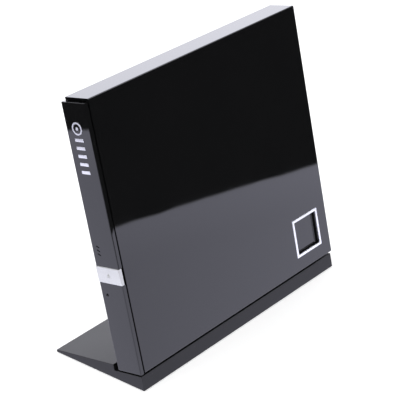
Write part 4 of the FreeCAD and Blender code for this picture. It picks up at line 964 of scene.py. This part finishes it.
# %% Disc hub
HUB_R = 7.4
PLATTER_R = 13.0
PLATTER_EDGE = 1.0
CLAW_TURNS = [Matrix.Rotation(math.radians(turn), 4, "Z") for turn in (0, 120, 240)]
CLAW_HALF = 1.6
SLIT_HALF = 0.2
SLIT_FROM = 3.6
CATCH_RISE = 1.85
CATCH_HALF = 1.2
low, high = flat_box("turntable")
middle = (low + high) / 2
step_z = low.z + PLATTER_EDGE
profile = [
    (0, low.z), (PLATTER_R - 0.2, low.z), (PLATTER_R, low.z + 0.2), (PLATTER_R, step_z - 0.25),
    (PLATTER_R - 0.25, step_z), (HUB_R + 0.15, step_z), (HUB_R, step_z + 0.15),
    (HUB_R, high.z - 0.85), (HUB_R - 0.25, high.z - 0.4), (HUB_R - 0.8, high.z - 0.1),
    (HUB_R - 1.6, high.z), (2.4, high.z), (2.1, high.z - 0.15), (1.9, high.z - 0.6),
    (0, high.z - 0.6),
]
hub = bmesh.new()
lathe(hub, profile, steps=72)
cutter = bmesh.new()
for turn in CLAW_TURNS:
    for side in (-1, 1):
        y = side * CLAW_HALF
        slit_low = (SLIT_FROM, y - SLIT_HALF, step_z + 0.4)
        made = block(cutter, slit_low, (HUB_R + 1, y + SLIT_HALF, high.z + 1))
        bmesh.ops.transform(cutter, matrix=turn, verts=made)
hub = carve(hub, cutter)
catch_z = step_z + CATCH_RISE
for turn in CLAW_TURNS:
    catch_low = (HUB_R - 0.6, -CATCH_HALF, catch_z)
    made = block(hub, catch_low, (HUB_R + 0.35, CATCH_HALF, catch_z + 0.5))
    bmesh.ops.transform(hub, matrix=turn, verts=made)
sled_line = Matrix.Rotation(math.radians(135), 4, "Z")
hub_place = Matrix.Translation((middle.x, middle.y, 0)) @ sled_line
bmesh.ops.transform(hub, matrix=hub_place, verts=hub.verts)
piece(hub, "disc_hub", "turntable", "hub_plastic", stands_for=("turntable",))

# %% Objective lens
LENS_RIM = 0.35
DOME_STEPS = 8
low, high = flat_box("objective_lens")
middle = (low + high) / 2
radius = (high.x - low.x) / 2
rim_z = low.z + LENS_RIM
dome_high = high.z - low.z - LENS_RIM
dome = [(0, low.z), (radius, low.z), (radius, rim_z)]
for step in range(1, DOME_STEPS + 1):
    angle = math.radians(90 * step / DOME_STEPS)
    dome.append((radius * math.cos(angle), rim_z + dome_high * math.sin(angle)))
dome[-1] = (0, high.z)
lens = bmesh.new()
lathe(lens, dome, Matrix.Translation((middle.x, middle.y, 0)), 40)
piece(lens, "lens_dome", "lens", "lens_glass", stands_for=("objective_lens",))

# %% [markdown]
# ## Floor and light
# The drive stands on a plain white floor that runs out of view.  The mirror-like covers show
# whatever lies in front of them, so the surroundings matter more than the lamps: a white table
# whose far edge draws a line across the glossy face, darkness above it, and a white screen
# behind the drive for the top edge.  The world shader holds these, by direction only.  The floor
# glows a little, which lifts the grey shadow round the stand, and can be seen through from below.

# %% Floor
FLOOR_GLOW = 0.32
floor_mesh = bmesh.new()
bmesh.ops.create_grid(floor_mesh, x_segments=1, y_segments=1, size=4.0)
floor = loose_object(floor_mesh, "floor")
floor_tree, floor_shader = new_finish("floor_white")
paper = noise(floor_tree, object_place(floor_tree), 3.0)
floor_tree.links.new(
    mix_colour(floor_tree, paper, (0.93, 0.93, 0.93), (0.96, 0.96, 0.96)),
    floor_shader.inputs["Base Color"],
)
floor_shader.inputs["Roughness"].default_value = 0.9
floor_shader.inputs["Specular IOR Level"].default_value = 0.0
floor_shader.inputs["Emission Color"].default_value = (1.0, 1.0, 1.0, 1.0)
floor_shader.inputs["Emission Strength"].default_value = FLOOR_GLOW
behind = floor_tree.nodes.new("ShaderNodeNewGeometry").outputs["Backfacing"]
see_through = floor_tree.nodes.new("ShaderNodeBsdfTransparent")
either = floor_tree.nodes.new("ShaderNodeMixShader")
floor_tree.links.new(behind, either.inputs[0])
floor_tree.links.new(floor_shader.outputs[0], either.inputs[1])
floor_tree.links.new(see_through.outputs[0], either.inputs[2])
floor_tree.links.new(either.outputs[0], floor_tree.nodes["Material Output"].inputs["Surface"])
floor.data.materials.append(bpy.data.materials["floor_white"])
floor.visible_glossy = False

# %% World: a white table below, dark above, a screen behind
TABLE_LEFT = 1.58
TABLE_RIGHT = 1.74
TABLE_FRONT = 0.86         # share of the table's light that is left towards the bezel
EDGE_LEFT = -0.3955        # height of the table's far edge, as a share of a unit direction
EDGE_RIGHT = -0.2215
DARK_ROOM = 0.03
SCREEN_LIGHT = 2.75
SCREEN_FOOT = 0.62         # share of the screen's light that is left near the table
OVERHEAD_LIGHT = 3.0
world = bpy.data.worlds.new("studio")
bpy.context.scene.world = world
world.use_nodes = True
air = world.node_tree
direction = air.nodes.new("ShaderNodeTexCoord").outputs["Generated"]


def along(x, y, z):
    """How far the looked-along direction agrees with a given one."""
    node = air.nodes.new("ShaderNodeVectorMath")
    node.operation = "DOT_PRODUCT"
    air.links.new(direction, node.inputs[0])
    node.inputs[1].default_value = Vector((x, y, z)).normalized()
    return node.outputs["Value"]


height = along(0, 0, 1)
right = ramp(air, along(1, 0, 0), -0.35, 0.35)
table_edge = ramp(air, right, 0.0, 1.0, EDGE_LEFT, EDGE_RIGHT, soft=False)
lower = calc(air, "SUBTRACT", table_edge, height)
on_table = ramp(air, lower, -0.001, 0.0015)
rim_glow = ramp(air, lower, 0.03, 0.0, 0.0, 0.2)
across = ramp(air, along(-1, 1, 0), -0.1, 0.05, TABLE_LEFT, TABLE_RIGHT, soft=False)
across = calc(air, "MULTIPLY", across, ramp(air, along(0, 1, 0), -0.4, 0.4, TABLE_FRONT, 1.0))
table = calc(air, "MULTIPLY", on_table, calc(air, "ADD", across, rim_glow))
screen = ramp(air, along(-0.72, 0.69, 0.0), 0.55, 0.85)
screen = calc(air, "MULTIPLY", screen, ramp(air, height, 0.5, 0.2))
screen = calc(air, "MULTIPLY", screen, ramp(air, height, 0.0, 0.2, SCREEN_FOOT, 1.0))
overhead = ramp(air, height, 0.5, 0.75)
room = calc(air, "MULTIPLY_ADD", screen, SCREEN_LIGHT, DARK_ROOM)
room = calc(air, "MULTIPLY_ADD", overhead, OVERHEAD_LIGHT, room)
room = calc(air, "MULTIPLY", room, calc(air, "SUBTRACT", 1.0, on_table))
mirrored_light = calc(air, "ADD", table, room)

# %% World: what the camera and matt surfaces see
ray = air.nodes.new("ShaderNodeLightPath")
background = air.nodes["Background"]
seen = calc(air, "MULTIPLY_ADD", ray.outputs["Is Camera Ray"], 0.2, 1.04)
glossy = ray.outputs["Is Glossy Ray"]
strength = calc(air, "MULTIPLY", mirrored_light, glossy)
strength = calc(
    air, "MULTIPLY_ADD", seen, calc(air, "SUBTRACT", 1.0, glossy), strength,
)
mirrored = mix_colour(air, on_table, (0.98, 0.985, 1.08), (0.97, 0.97, 1.17))
cool = mix_colour(air, glossy, (1.0, 1.0, 1.0), mirrored)
air.links.new(cool, background.inputs["Color"])
air.links.new(strength, background.inputs["Strength"])

# %% Soft box over the left shoulder
lamp_data = bpy.data.lights.new("soft_box", "AREA")
lamp_data.shape = "RECTANGLE"
lamp_data.size = 0.9
lamp_data.size_y = 0.7
lamp_data.energy = 2.5
lamp = bpy.data.objects.new("soft_box", lamp_data)
bpy.context.scene.collection.objects.link(lamp)
lamp.location = (-0.55, -0.5, 0.95)
lamp.rotation_euler = (Vector((0, 0, 0.08)) - lamp.location).to_track_quat("-Z", "Y").to_euler()

# %% [markdown]
# ## Camera
# A long lens from high on the right keeps the drive's edges almost parallel.  Colours go through
# the plain display transform, so that a white floor stays white and black stays black.

# %% Camera and display
camera_data = bpy.data.cameras.new("camera")
camera_data.lens = 132.96
camera_data.sensor_width = 36.0
camera_data.clip_end = 20.0
camera = bpy.data.objects.new("camera", camera_data)
bpy.context.scene.collection.objects.link(camera)
camera.location = (0.48015, -0.53308, 0.42289)
camera.rotation_euler = [math.radians(a) for a in (63.59, 2.59, 40.54)]
bpy.context.scene.camera = camera
bpy.context.scene.view_settings.view_transform = "Standard"
bpy.context.scene.view_settings.look = "None"
